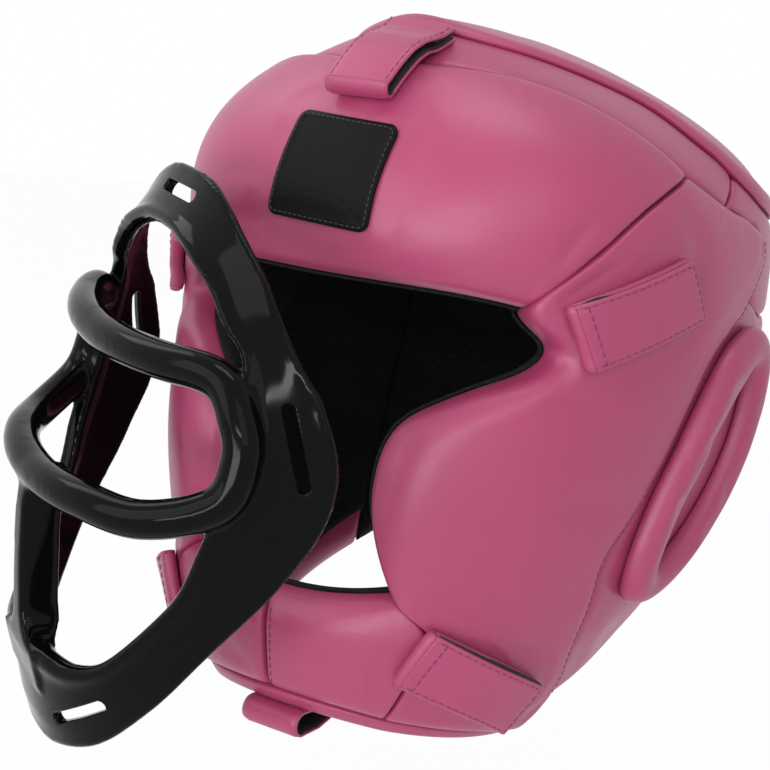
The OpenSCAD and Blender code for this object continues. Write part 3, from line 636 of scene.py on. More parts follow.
def gloss_plastic(name, colour, light):
    """Injection-moulded nylon, polished in the mould: deep black with clear, slightly wavy reflections and
    a few hairline scuffs."""
    material, tree, shader, place = new_material(name)
    sink = add_node(tree, "ShaderNodeTexNoise", {"Vector": place, "Scale": per_mm(24), "Detail": 2.0})
    relief = add_node(tree, "ShaderNodeBump", {"Height": sink.outputs["Fac"], "Strength": 0.06,
                                               "Distance": 2.0 * MM})
    scuffs = add_node(tree, "ShaderNodeTexNoise", {"Vector": place, "Scale": per_mm(9), "Detail": 6.0})
    gloss = add_node(tree, "ShaderNodeMapRange", {"Value": scuffs.outputs["Fac"], "From Min": 0.35,
                                                  "From Max": 0.75, "To Min": 0.07, "To Max": 0.15})
    tone = add_node(tree, "ShaderNodeMix", {0: scuffs.outputs["Fac"], 6: linear(colour),
                                            7: linear(light)}, data_type="RGBA")
    feed(tree, shader, {"Base Color": tone.outputs[2], "Roughness": gloss.outputs["Result"],
                        "Normal": relief.outputs["Normal"], "IOR": 1.53, "Specular IOR Level": 0.08})
    return material


COVER = coated_leather("pink coated leather", PINK, PINK_DEEP)
LINING = knitted_lining("black knitted lining", LINING_BLACK, LINING_LIGHT)
TAPE = hook_tape("black hook tape", TAPE_BLACK, TAPE_LIGHT)
THREAD = spun_thread("dark pink thread", THREAD_PINK, THREAD_LIGHT)
PATCH = moulded_patch("black moulded patch", PATCH_BLACK, PATCH_LIGHT)
CAGE = gloss_plastic("black moulded nylon", CAGE_BLACK, CAGE_LIGHT)

# Padded covers are swollen by a cloth simulation
CLOTH_FRAMES = 20
PRESSURE = 4.0
BENDING = 6.0
EXTRA_CLOTH = 0.005
SEWN_MM = 11


def puffed(bm, held, cap, start):
    """Lets a cover swell over its foam: cloth on the pad's own mesh under a light pressure, sewn down where
    held is 1. The cover starts inwards by start, and no point moves by more than cap."""
    free = 1 - held
    for vert, share_free in zip(bm.verts, free):
        vert.co -= vert.normal * float(share_free) * start * MM
    cover = object_from(bm.copy(), "swelling_cover")
    sewn = cover.vertex_groups.new(name="sewn")
    for i, weight in enumerate(held):
        if weight > 0.001:
            sewn.add([i], float(weight), "REPLACE")
    cloth = cover.modifiers.new("cloth", "CLOTH")
    cloth.settings.use_pressure = True
    cloth.settings.uniform_pressure_force = PRESSURE
    cloth.settings.vertex_group_mass = "sewn"
    cloth.settings.shrink_min = -EXTRA_CLOTH
    cloth.settings.bending_stiffness = BENDING
    cloth.settings.effector_weights.gravity = 0
    cloth.point_cache.frame_start = 1
    cloth.point_cache.frame_end = CLOTH_FRAMES
    for step in range(1, CLOTH_FRAMES + 1):
        bpy.context.scene.frame_set(step)
    swollen = applied(cover)
    for vert, after, share_free in zip(bm.verts, swollen.vertices, free):
        moved = after.co - vert.co
        limit = cap * MM * float(share_free)
        vert.co += moved * min(1, limit / max(moved.length, 1e-9))
    bpy.data.objects.remove(cover)
    bpy.data.meshes.remove(swollen)
    bpy.context.scene.frame_set(1)


def still_near(corners, margin):
    """How much a pad is held still round a sewn patch: 1 under it, easing to 0 a margin away."""
    corners = np.asarray(corners, float)
    middle = corners.mean(axis=0)
    along = (corners[2] + corners[3] - corners[0] - corners[1]) / 2
    across = (corners[1] + corners[3] - corners[0] - corners[2]) / 2

    def still(points):
        off = points - middle
        s = np.abs(off @ unit(along)) - np.linalg.norm(along) / 2
        w = np.abs(off @ unit(across)) - np.linalg.norm(across) / 2
        return np.clip(1 - np.hypot(np.maximum(s, 0), np.maximum(w, 0)) / margin, 0, 1)
    return still


def lining_over(bm, inner, name, nodes, mirror):
    """Knitted lining over the inner face of a pad: a thin layer of its own just off the foam."""
    layer = bm.copy()
    outer = [vert for vert, keep in zip(layer.verts[:], inner) if not keep]
    bmesh.ops.delete(layer, geom=outer, context="VERTS")
    layer.normal_update()
    for vert in layer.verts:
        vert.co += vert.normal * LINING_OFF * MM
    grown = bmesh.ops.extrude_face_region(layer, geom=layer.faces[:])["geom"]
    layer.normal_update()
    for vert in only_verts(grown):
        vert.co += vert.normal * (LINING_T - LINING_OFF) * MM
    if mirror:
        mirror_over(layer)
    made = piece_from(outward(layer), name, LINING, "guard", nodes)


def eased(t):
    """Spreads positions a little towards both ends, where the covers roll over."""
    return (t + (0.5 - 0.5 * np.cos(np.pi * t))) / 2


class Cushion:
    """A padded piece over a four-sided patch of the guard's form, and where its points lie on that patch.

    place turns shares u and v of the patch into angle and level. out and deep are the heights of the outer
    and the inner face over and under the guard's form, and detail adds hollows to the outer one.
    """

    def __init__(self, name, place, out, deep, cells, rolls, walls, crown=0.0, detail=None):
        self.bm = two_skins(*cells)
        flat = positions(self.bm)
        self.u = eased(np.clip(flat[:, 0], 0, 1))
        self.v = eased(np.clip(flat[:, 1], 0, 1))
        self.side = flat[:, 2]
        height = face_height(self.u, self.v, self.side, out, deep, rolls, walls, crown)
        if detail is not None:
            height = height + np.where(self.side > 0.99, detail(self.u, self.v), 0)
        self.points = on_skin(place(self.u, self.v), height)
        move_to(self.bm, self.points)
        outward(self.bm)
        self.name = name
        self.place = place

    def swell(self, width, height, cap, start, still=()):
        """Swells the outer skin. The pad's width and height, in millimetres, give the distance to its
        seams, where the cover is held."""
        edge = np.minimum(np.minimum(self.u, 1 - self.u) * width,
                          np.minimum(self.v, 1 - self.v) * height)
        held = np.where(self.side > 0.99, np.clip(1 - edge / SEWN_MM, 0, 1) ** 0.7, 1)
        for patch in still:
            held = np.maximum(held, patch(self.points))
        puffed(self.bm, held, cap, start)

    def cover(self, node, mirror=False):
        bm = self.bm.copy()
        if mirror:
            mirror_over(bm)
        name = self.name + ("_right" if mirror else "")
        made = piece_from(outward(bm), name, COVER, "guard", [node])
        finer(made)

    def pair(self, node):
        for hand in HANDS:
            self.cover(node + "_" + hand, hand == "right")

    def lining(self, name, nodes=(), mirror=False, above=-1):
        """Lines the inner face, where v is more than above."""
        lining_over(self.bm, (self.side < -0.99) & (self.v > above), name, nodes, mirror)

    def lining_pair(self, name, node=None, above=-1):
        self.lining(name, [node + "_left"] if node else (), False, above)
        self.lining(name + "_right", [node + "_right"] if node else (), True, above)


def seam_pull(off, reach, depth, along, seed):
    """Shallow uneven hollow beside a seam: off is the distance to it, and along runs in radians."""
    return -depth * np.exp(-off / reach) * (1 + ripple(along, seed))


def forehead_detail(u, v):
    return (seam_pull(np.minimum(u, 1 - u) * 300, 4, 0.3, v * 40, 1.0)
            + seam_pull((1 - v) * 75, 3, 0.25, u * 160, 2.0))


def side_detail(u, v):
    return (seam_pull((1 - u) * 110, 4, 0.3, v * 120, 3.0)
            + seam_pull(np.where(v > 0.7, u * 60, 99), 4, 0.3, v * 90, 4.0))


# Corners of the side tabs as angle and level: free end above and below, then the fold above and below
TEMPLE_TAB = np.array([[72.2, 47.9], [76.5, 33.3], [48, 35.5], [53.6, 20.4]])
JAW_TAB = np.array([[70.1, -69.2], [68.7, -84.3], [38.4, -53.1], [34.5, -69.8]])

# Where the badge sits on the forehead pad, and how it leans
BADGE_LEVEL = 58.5
BADGE_STEP = 0.69
BADGE_SHIFT = 4.2
BADGE_LEAN = 0.045


def badge_point(s, w, h):
    """Place on the badge: s millimetres up from its middle, w the share of its width, and height h."""
    across = (w - 0.5) * BADGE_W
    t = BADGE_LEVEL + (s - across * BADGE_LEAN) * BADGE_STEP
    return on_skin(stack(angle_at(across + BADGE_SHIFT + s * BADGE_LEAN, t), t),
                   PAD_RISE + PAD_SWELL + TAB_GAP + h)


# What is sewn on the pads holds their covers still
SEWN_MARGIN = 8
badge_corners = badge_point(np.array([-1, 1, -1, 1]) * BADGE_H / 2, np.array([0, 0, 1, 1]), np.zeros(4))
badge_still = still_near(badge_corners, SEWN_MARGIN)
temple_still = still_near(on_skin(TEMPLE_TAB, np.full(4, PAD_RISE)), SEWN_MARGIN)
jaw_still = still_near(on_skin(JAW_TAB, np.full(4, PAD_RISE)), SEWN_MARGIN)

# The pads, the lower band, the neck panels and the gussets, with their linings
forehead = Cushion("forehead_cover", forehead_place, out=PAD_RISE, deep=PAD_T - PAD_RISE,
                   cells=(84, 28), rolls=[0.022, 0.022, 0.22, 0.1], walls=[0.93, 0.93, 0.04, 0.5],
                   crown=PAD_SWELL, detail=forehead_detail)
forehead.swell(300, 82, cap=1.5, start=0.8, still=[badge_still])
forehead.cover("forehead_pad")
forehead.lining("forehead_lining", ["lining_forehead"])
side = Cushion("side_cover", side_place, out=PAD_RISE, deep=PAD_T - PAD_RISE, cells=(36, 68),
               rolls=SIDE_ROLLS, walls=SIDE_WALLS, crown=PAD_SWELL, detail=side_detail)
side.swell(105, 215, cap=1.4, start=0.8, still=[temple_still, jaw_still])
side.pair("side_pad")
side.lining_pair("side_lining", "lining_side", above=0.06)
chin = Cushion("chin_cover", chin_place, out=PAD_RISE, deep=CHIN_T - PAD_RISE, cells=(26, 20),
               rolls=[0.06, 0.035, 0.2, 0.35], walls=[0.8, 0.95, 0.3, 0.04], crown=PAD_SWELL)
chin.swell(72, 42, cap=1.4, start=0.7, still=[jaw_still])
chin.pair("chin_pad")
chin.lining_pair("chin_lining")
band = Cushion("lower_band_cover", band_place, out=0, deep=CHIN_T * 0.6, cells=(90, 8),
               rolls=[0.02, 0.02, 0.4, 0.1], walls=[0.4, 0.4, 0.3, 0.8])
band.cover("lower_band")
neck = Cushion("neck_cover", neck_place, out=0, deep=CROWN_T, cells=(24, 36),
               rolls=[0.06, 0.06, 0.12, 0.05], walls=[0.6, 0.6, 0.1, 0.7])
neck.swell(90, 120, cap=1.2, start=0.6)
neck.pair("neck_panel")
neck.lining_pair("neck_lining", above=0.1)
rear = Cushion("rear_cover", rear_place, out=0, deep=CROWN_T, cells=(26, 40),
               rolls=[0.06, 0.12, 0.12, 0.05], walls=[0.6, 0.1, 0.1, 0.7], crown=PAD_SWELL)
rear.pair("rear_pad")
rear.lining_pair("rear_lining", "lining_rear")
gusset = Cushion("gusset_cover", gusset_place, out=0, deep=GUSSET_T, cells=(90, 8),
                 rolls=[0.03, 0.03, 0.1, 0.1], walls=[0.7, 0.7, 0.7, 0.7])
gusset.cover("gusset_front")
gusset.lining("gusset_lining")
gusset_rear = Cushion("gusset_rear_cover", gusset_rear_place, out=0, deep=GUSSET_T, cells=(28, 8),
                      rolls=[0.06, 0.06, 0.06, 0.06], walls=[0.7, 0.7, 0.7, 0.7])
gusset_rear.pair("gusset_rear")
gusset_rear.lining_pair("gusset_rear_lining")


def half_round(section):
    """Once round a roll's section, over its dome and back along its flat base: how far across, from 1 to
    -1 and back, how high, from 0 to 1, and the share of the base that is passed."""
    dome = np.minimum(section / 0.7, 1) * np.pi
    base = np.clip((section - 0.7) / 0.3, 0, 1)
    on_dome = section < 0.7
    across = np.where(on_dome, np.cos(dome), -1 + 2 * base)
    return across, np.where(on_dome, np.sin(dome), 0), base


def ear_at(x, z):
    """Angle and level at a place x and z of the leaning ear pad."""
    across = x * math.cos(EAR_LEAN) + z * math.sin(EAR_LEAN)
    up = z * math.cos(EAR_LEAN) - x * math.sin(EAR_LEAN)
    return stack(EAR_ANGLE + np.degrees(across / GUARD_HALF_W), EAR_LEVEL + up / JAW_DROP * 100)


def ear_pad():
    """Oval stuffed roll with a domed top and a flat base on the panel."""
    bm = ring(96, 28)
    flat = positions(bm)
    turn = flat[:, 0] * 2 * np.pi
    across, rise, _ = half_round(flat[:, 1])
    w = EAR_ROLL * across
    h = EAR_RISE * np.maximum(rise, 0) ** 0.8
    at = ear_at((EAR_HALF_W - w) * np.cos(turn), (EAR_HALF_H - w) * np.sin(turn))
    move_to(bm, on_skin(at, TAB_GAP + h))
    return close_ring(bm)


def swollen_ear():
    """The roll swells in its upper half. Its height over the guard's form tells how free a point is."""
    bm = ear_pad()
    points = positions(bm) / MM
    at = ear_at(np.zeros(1), np.zeros(1))[0]
    height = (points - skin(at[0], at[1])) @ skin_out(at[0], at[1])
    held = np.clip(1 - (height - np.quantile(height, 0.1)) / EAR_RISE, 0, 1) ** 0.5
    puffed(bm, held, cap=1.6, start=0.6)
    return bm


ear_bm = swollen_ear()
for hand in HANDS:
    bm = ear_bm.copy()
    if hand == "right":
        mirror_over(bm)
    ear = piece_from(bm, "ear_roll_" + hand, COVER, "guard", ["ear_pad_" + hand])
    finer(ear)

# The crown panel, with the level of its middle, and the distances within which its middle is smoothed
CROWN_TOP = 99.6
CROWN_SOFTENED = [52, 44, 36, 28, 20, 12]


def crown_disc(out, deep, around, rings, wall):
    """Domed panel over the top of the head: its section runs from the middle of the crown outside, over the
    edge and back to the middle inside."""
    bm = ring(around, 2 * rings)
    flat = positions(bm)
    edge = folded(CROWN_EDGE, 2 * flat[:, 0] - 1)
    outside = flat[:, 1] < 0.5
    inward = np.where(outside, 1 - 2 * flat[:, 1], 2 * flat[:, 1] - 1)
    v = 1 - (1 - inward) ** 1.6
    full = fullness(v, 0.15, wall)
    side_sign = np.where(outside, 1, -1)
    level = edge[:, 1] + (CROWN_TOP - edge[:, 1]) * v
    height = (out - deep) / 2 + side_sign * (out + deep) / 2 * full
    points = on_skin(stack(edge[:, 0], level), height)
    middle = np.array([0, -0.3 * GUARD_FRONT, CROWN_H])
    pole = inward > 0.999
    points[pole] = middle + np.where(outside, out, -deep)[pole][:, None] * np.array([0, 0, 1])
    move_to(bm, points)
    close_ring(bm)
    centre = Vector(middle * MM)
    for reach in CROWN_SOFTENED:
        near = [vert for vert in bm.verts if (vert.co - centre).length < reach * MM]
        for _ in range(6):
            bmesh.ops.smooth_vert(bm, verts=near, factor=0.5, use_axis_x=True, use_axis_y=True,
                                  use_axis_z=True)
    return outward(bm)


crown_bm = crown_disc(out=0, deep=CROWN_T, around=120, rings=22, wall=0.7)
crown = piece_from(crown_bm, "crown_cover", COVER, "guard", ["crown_panel"])
finer(crown)
lining_bm = crown_disc(out=-CROWN_T - LINING_OFF, deep=CROWN_T + LINING_T, around=100, rings=14, wall=0.8)
crown_lining = piece_from(lining_bm, "crown_lining", LINING, "guard", ["lining_crown"])


def direction(line, turn, step):
    """Direction of a closed line at turns from -1 to 1, from its points a step to each side."""
    return unit(line((turn + step + 1) % 2 - 1) - line((turn - step + 1) % 2 - 1))


def edge_line(turn):
    p = folded(CROWN_EDGE, turn)
    return on_skin(p, np.zeros(len(p)))


def crown_binding():
    """Folded binding round the crown panel's edge: a half-round roll whose base is pressed into the covers,
    so that no gap shows under it."""
    bm = ring(180, 16)
    flat = positions(bm)
    turn = 2 * flat[:, 0] - 1
    p = folded(CROWN_EDGE, turn)
    inward = np.cross(skin_out(p[:, 0], p[:, 1]), direction(edge_line, turn, 0.012))
    across, rise, base = half_round(flat[:, 1])
    seat = BINDING_SEAT * np.interp(base, [0, 0.15, 0.85, 1], [0, 1, 1, 0])
    from_edge = BINDING_W / 2 - across * BINDING_W / 2
    move_to(bm, on_skin(p, TAB_GAP + (rise * BINDING_H - seat)) + inward * from_edge[:, None])
    return close_ring(bm)


finer(piece_from(crown_binding(), "crown_edge_binding", COVER, "guard", ["crown_binding"]))


def on_side_pad(at):
    """Where points of the guard lie on the side pad, by corrections of a first guess."""
    u = np.full(len(at), 0.5)
    v = np.full(len(at), 0.5)
    for _ in range(14):
        v = np.clip(v, 0, 1)
        front = through(SIDE_FRONT, v)
        back = through(SIDE_REAR, v)
        here = front + (back - front) * u[:, None]
        u = u + (at[:, 0] - here[:, 0]) / (back[:, 0] - front[:, 0])
        v = v + (at[:, 1] - here[:, 1]) / 190
    return np.clip(u, 0, 1), np.clip(v, 0, 1)


def tab_length(c):
    near = (c[2] + c[3]) / 2
    far = (c[0] + c[1]) / 2
    return 1.03 * np.linalg.norm(skin(near[0], near[1]) - skin(far[0], far[1]))


def side_tab_point(c):
    """Places on a side tab with the corners c: s millimetres from its free end, w the share of its width
    from above, and the height h over the side pad."""
    length = tab_length(c)

    def point(s, w, h):
        k = (s / length)[:, None]
        w = w[:, None]
        at = c[0] * (1 - k) * (1 - w) + c[1] * (1 - k) * w + c[2] * k * (1 - w) + c[3] * k * w
        u, v = on_side_pad(at)
        pad = np.maximum(side_height(np.clip(u, 0.1, 0.93), np.maximum(v, 0.03)), 0)
        return on_skin(at, pad + TAB_GAP + h)
    return point


def strap_piece(name, point, spans, top, under, cells, material, body, nodes=(), mirror=False,
                inset=0.0, width=TAB_W, beyond=None):
    """A strap's layer: point(s, w, h) gives its place for a distance along, a share of the width and a
    height. top and under give the height of its faces for the same s and w. beyond(s) is how far, in
    millimetres, its first edge stands out."""
    bm = two_skins(*cells)
    flat = positions(bm)
    s = spans[0] + (spans[1] - spans[0]) * np.clip(flat[:, 0], 0, 1)
    w = inset / width + (1 - 2 * inset / width) * np.clip(flat[:, 1], 0, 1)
    if beyond is not None:
        w = w - beyond(s) / width * (1 - np.clip(flat[:, 1], 0, 1)) ** 2
    k = (flat[:, 2] + 1) / 2
    h = under(s, w) * (1 - k) + top(s, w) * k
    move_to(bm, point(s, w, h))
    if mirror:
        mirror_over(bm)
    return piece_from(outward(bm), name, material, body, nodes)


def chain_height(chain):
    """Height of a strap's middle along a chain of distances and heights."""
    chain = np.asarray(chain, float)

    def height(s, w):
        return np.interp(s, chain[:, 0], chain[:, 1])
    return height


def level_height(h):
    return lambda s, w: np.full_like(s, h)


# How straps fold, round off at their cut edges and are stitched
FOLD_MID = (TAB_T + HOOK_T + TAB_GAP) / 2
EDGE_ROUND = 1.1
EDGE_DROP = 0.7
STITCH_IN = 1.6
STITCH_UP = 0.05

# How high the tape reaches in a flap of the side tabs, where its cover starts, and how long the hooks are
TAPE_TO = 0.55
COVER_FROM = 0.65
HOOK_SHARE = 0.62


def pulled_edge(d, pull, reach):
    """How much a strap's face drops at a distance d from its cut edges, by their rounding and by the
    stitches that pull it down."""
    return (EDGE_DROP * np.clip(1 - d / EDGE_ROUND, 0, 1) ** 2
            + pull * np.exp(-((d - STITCH_IN) / reach) ** 2))


def edge_roll(s, w, to_end=False):
    """How much a tab's face drops towards its long edges and, where asked, towards its free end."""
    from_side = np.minimum(w, 1 - w) * TAB_W
    return pulled_edge(np.minimum(from_side, s) if to_end else from_side, 0.4, 0.6)


def stitch_row(name, point, path, material, body, mirror=False, pitch=3.2, thread=0.32):
    """A row of stitches along a path of (s, w, h), each a small spindle half sunk in the cover."""
    path = np.asarray(path, float)
    places = point(path[:, 0], path[:, 1], path[:, 2])
    lengths = np.concatenate([[0], np.cumsum(np.linalg.norm(np.diff(places, axis=0), axis=1))])
    count = max(1, int(lengths[-1] / pitch))
    bm = bmesh.new()
    for k in range(count):
        ends = [(k + 0.12) * lengths[-1] / count, (k + 0.88) * lengths[-1] / count]
        a, b = [Vector([np.interp(e, lengths, places[:, i]) for i in range(3)]) * MM for e in ends]
        along = b - a
        turn = along.to_track_quat("Z", "Y").to_matrix().to_4x4()
        size = Matrix.Diagonal((thread * MM, thread * MM, along.length / 2, 1))
        bmesh.ops.create_uvsphere(bm, u_segments=6, v_segments=4, radius=1,
                                  matrix=Matrix.Translation((a + b) / 2) @ turn @ size)
    if mirror:
        mirror_over(bm)
    return piece_from(bm, name, material, body)


def cover_stitches(name, cushion, u, ends, count, mirror=False):
    """A row of stitches up a pad at a share u of its width, laid on its finished cover."""
    us = np.full(count, u)
    vs = np.linspace(ends[0], ends[1], count)
    tree = BVHTree.FromBMesh(cushion.bm)
    start = on_skin(cushion.place(us, vs), np.full(count, PAD_RISE + 1.0)) * MM
    found = [tree.find_nearest(Vector(point)) for point in start]
    path = np.array([(place + normal * STITCH_UP * MM)[:] for place, normal, _, _ in found]) / MM
    stitch_row(name, stack, path, THREAD, "guard", mirror, pitch=3.0, thread=0.26)


def dense_path(corners, height):
    """Path of (s, w, h) through a few corners, close enough to follow the strap's face."""
    s = []
    w = []
    for a, b in zip(corners[:-1], corners[1:]):
        k = np.linspace(0, 1, 24, endpoint=False)
        s.append(a[0] + (b[0] - a[0]) * k)
        w.append(a[1] + (b[1] - a[1]) * k)
    s = np.concatenate(s + [[corners[-1][0]]])
    w = np.concatenate(w + [[corners[-1][1]]])
    return np.stack([s, w, height(s, w)], axis=-1)


def strap_bend(point, length, centre, middle, thickness):
    """The bend of a strap: a half turn about a line across the strap, with the strap's own thickness."""
    bm = two_skins(18, 12)
    flat = positions(bm)
    angle = np.radians(180 * np.clip(flat[:, 0], 0, 1))
    radius = middle + flat[:, 2] * thickness / 2
    w = np.clip(flat[:, 1], 0, 1)
    slim = 0.5 * np.clip(1 - np.minimum(w, 1 - w) * TAB_W / EDGE_ROUND, 0, 1) ** 2
    radius = radius - np.where(flat[:, 2] > 0.9, slim, 0)
    move_to(bm, point(length + radius * np.sin(angle), w, centre - radius * np.cos(angle)))
    return outward(bm)


def side_tab(label, c, lift, skew, beyond, hand):
    """A strap tab of the side pads: the sewn layer with its bend, and the flap with the tape under it. The
    flap's upper edge stands up by lift, and skew moves the highest place towards the fold."""
    point = side_tab_point(c)
    length = tab_length(c)
    right = hand == "right"
    flap_body = label + "_flap_" + hand
    low = 2 * FOLD_MID
    hook_end = length * HOOK_SHARE

    def lifted(s, w):
        return lift * np.sin(np.pi * np.clip(s / length, 0, 1) ** skew) * (1 - w) ** 2

    def flap_top(s, w):
        return low + TAB_T + lifted(s, w) - edge_roll(s, w, to_end=True)

    def flap_mid(s, w):
        return low + COVER_FROM + lifted(s, w)

    def tape_top(s, w):
        return low + TAPE_TO + lifted(s, w)

    def tape_under(s, w):
        return low + lifted(s, w) - np.where(s < hook_end, HOOK_T, 0)

    # The tape's edge stands out past the flap: black that is partly the real tape and partly painted shade
    # for the shadowed gap under the lifted flap.
    def tape_beyond(s):
        return 0.8 + beyond(s / length)

    def stitch_height(s, w):
        return flap_top(s, w) + STITCH_UP

    strap_piece(label + "_base_" + hand, point, (0, length), level_height(TAB_T), level_height(0),
                (34, 12), COVER, "guard", [label + "_tab_base_" + hand], right)
    bend = strap_bend(point, length, TAB_T / 2 + FOLD_MID, FOLD_MID, TAB_T)
    if right:
        mirror_over(bend)
    piece_from(bend, label + "_fold_" + hand, COVER, "guard")
    strap_piece(label + "_flap_cover_" + hand, point, (0.6, length), flap_top, flap_mid, (76, 34),
                COVER, flap_body, [flap_body], right)
    strap_piece(label + "_flap_tape_" + hand, point, (1.6, length - 0.8), tape_top, tape_under, (50, 8),
                TAPE, flap_body, (), right, inset=0.8, beyond=tape_beyond)
    inner = STITCH_IN / TAB_W
    fold_end = length - 1.5
    corners = [(fold_end, inner), (STITCH_IN, inner), (STITCH_IN, 1 - inner), (fold_end, 1 - inner)]
    edge = dense_path(corners, stitch_height)
    stitch_row(label + "_flap_stitches_" + hand, point, edge, THREAD, flap_body, right)
    bar_at = length - 4.0
    bar = dense_path([(bar_at, 0.03), (bar_at, 0.97)], stitch_height)
    stitch_row(label + "_fold_stitches_" + hand, point, bar, THREAD, flap_body, right)


def temple_tape(k):
    """How far a temple tab's tape stands out over the upper edge, k from the free end to the fold. Near the
    fold the tape stands out past the flap: a black strip that is partly the real tape and partly stands in,
    as painted shade, for the shadow in the gap under the lifted flap.
    """
    return 1.5 * np.exp(-((k - 0.84) / 0.13) ** 2) - 0.8


def jaw_tape(k):
    """The same for a jaw tab. Here the tape stands out past the flap's upper edge all along: a black
    crescent that is partly the real tape and partly stands in, as painted shade, for the shadow in the gap
    under the lifted flap.
    """
    return 0.9 * np.sqrt(np.sin(np.pi * np.clip(k, 0, 1)))


for hand in HANDS:
    side_tab("temple", TEMPLE_TAB, lift=1.2, skew=3.5, beyond=temple_tape, hand=hand)
    side_tab("jaw", JAW_TAB, lift=2.3, skew=1.2, beyond=jaw_tape, hand=hand)
    cover_stitches("side_rear_stitches_" + hand, side, 0.972, (0.13, 0.97), 90, hand == "right")
cover_stitches("chin_seam_stitches", chin, 0.045, (0.1, 0.9), 30)

# How far from a loop's middle its cover meets its tape, in the upper layer and in the sewn one
LOOP_SPLIT = 0.35
BASE_SPLIT = 0.25
BEND_TAPE_T = 0.6

# The forehead tab, an open loop over the gusset and the pad's upper edge
BROW_LEVELS = [94.6, 92.6, 90.4, 87.6, 84.2, 80.2, 75.8]
BROW_L = 39
BROW_SHIFT = 4.5
BROW_LEAN = 2.5
BROW_BASE = np.array([[0, 1.3], [8, 1.5], [14, 2.6], [19, 4.9], [24, 5.8], [31, 6], [38, 6.1]])
BROW_FLAP = np.array([[0.5, 5.4], [8, 5.8], [13.5, 7.2], [19, 9.6], [25, 11.1], [31, 11.5], [38, 11.5]])


def brow_point(s, w, h):
    """Place on the forehead tab. Past the pad's edge, the bend runs down and forwards."""
    up = 1 - s / BROW_L
    across = (w - 0.5) * TAB_W + BROW_SHIFT + BROW_LEAN * up
    t = through(BROW_LEVELS, 1 - up) - 0.005 * across ** 2 * np.maximum(up, 0)
    over = np.maximum(s - BROW_L, 0)
    return on_skin(stack(angle_at(across, t), t), h) + np.stack(
        [np.zeros_like(s), -0.35 * over, -0.93 * over], axis=-1)


def loop_tab(label, point, base, flap, middle, body, base_node, flap_node, tape_to):
    """An open loop of strap: sewn layer, bend and upper layer, cover outside and tape inside."""
    length = base[-1][0]
    base_line = chain_height(base)
    flap_line = chain_height(flap)
    first = flap[0][0]
    last = flap[-1][0]

    def base_top(s, w):
        return base_line(s, w) + TAB_T / 2

    def base_mid(s, w):
        return base_line(s, w) + BASE_SPLIT

    def base_under(s, w):
        return base_line(s, w) - TAB_T / 2 + edge_roll(s, w) * 0.6

    def flap_top(s, w):
        return flap_line(s, w) + TAB_T / 2 - edge_roll(s, w)

    def flap_mid(s, w):
        return flap_line(s, w) - LOOP_SPLIT

    def tape_top(s, w):
        return flap_mid(s, w) - 0.05

    def flap_under(s, w):
        return flap_line(s, w) - TAB_T / 2 - np.where(s < tape_to, HOOK_T, 0)

    def stitch_height(s, w):
        return flap_top(s, w) + STITCH_UP

    strap_piece(label + "_base", point, (base[0][0], length), base_mid, base_under, (44, 24), COVER,
                "guard", [base_node])
    strap_piece(label + "_base_tape", point, (base[0][0], length), base_top, base_mid, (44, 8), TAPE,
                "guard", inset=0.9)
    centre = base[-1][1] + middle
    bend = strap_bend(point, length, centre, middle + LOOP_SPLIT, TAB_T - 2 * LOOP_SPLIT)
    piece_from(bend, label + "_bend", COVER, "guard")
    bend_tape = strap_bend(point, length, centre, middle - 2 * LOOP_SPLIT, BEND_TAPE_T)
    piece_from(bend_tape, label + "_bend_tape", TAPE, "guard")
    strap_piece(label + "_flap_cover", point, (first, last), flap_top, flap_mid, (60, 34), COVER, body,
                [flap_node])
    strap_piece(label + "_flap_tape", point, (first + 0.4, last), tape_top, flap_under, (44, 8), TAPE,
                body, inset=0.8)
    inner = STITCH_IN / TAB_W
    for row, w in (("first", inner), ("second", 1 - inner)):
        path = dense_path([(first + 1, w), (last - 0.5, w)], stitch_height)
        stitch_row(label + "_stitches_" + row, point, path, THREAD, body)


loop_tab("brow", brow_point, BROW_BASE, BROW_FLAP, BROW_FOLD, "forehead_flap", "forehead_tab_base",
         "forehead_flap", 14)

# The chin tab hangs under the lower band
CHIN_TAB_Y = -88
CHIN_TAB_Z = -107.6
CHIN_TAB_L = 25
CHIN_BASE = np.array([[0, 1.2], [6, 1.1], [12, 1], [18, 1], [CHIN_TAB_L, 1]])
CHIN_FLAP = np.array([[0.5, 5], [5, 5], [9, 6.6], [15, 8.6], [CHIN_TAB_L - 0.6, 9.4]])


def chin_tab_point(s, w, h):
    return stack((0.5 - w) * TAB_W, CHIN_TAB_Y - s, CHIN_TAB_Z - h)


loop_tab("chin_loop", chin_tab_point, CHIN_BASE, CHIN_FLAP, CHIN_FOLD, "chin_flap", "chin_tab_base",
         "chin_flap", 7)

# The badge patch, its rolled edge, its border and its plain field
BADGE_CORNER = 3.5
BADGE_EDGE = 0.5
BADGE_BORDER = 1.6
BADGE_STEP_W = 0.4
BADGE_ROLL = 0.4
BADGE_SUNK = 0.35


def badge_patch():
    """A flat plate with rounded corners, cut along its rolled edge and its border, and then across both
    ways, so that it follows the pad."""
    bm = bmesh.new()
    bmesh.ops.create_grid(bm, x_segments=1, y_segments=1, size=0.5)
    bmesh.ops.scale(bm, vec=(BADGE_W, BADGE_H, 1), verts=bm.verts)
    bmesh.ops.bevel(bm, geom=bm.verts[:], offset=BADGE_CORNER, segments=6, profile=0.5,
                    affect="VERTICES", material=-1)
    plate = bm.faces[:]
    for inset in (BADGE_EDGE, BADGE_BORDER, BADGE_STEP_W):
        bmesh.ops.inset_region(bm, faces=plate, thickness=inset, depth=0, use_even_offset=True)
    for size, cells, across in ((BADGE_W, 29, Vector((1, 0, 0))), (BADGE_H, 25, Vector((0, 1, 0)))):
        for step in np.linspace(-size / 2, size / 2, cells + 1)[1:-1]:
            bmesh.ops.bisect_plane(bm, geom=bm.verts[:] + bm.edges[:] + bm.faces[:],
                                   plane_co=across * step, plane_no=across)
    return bm


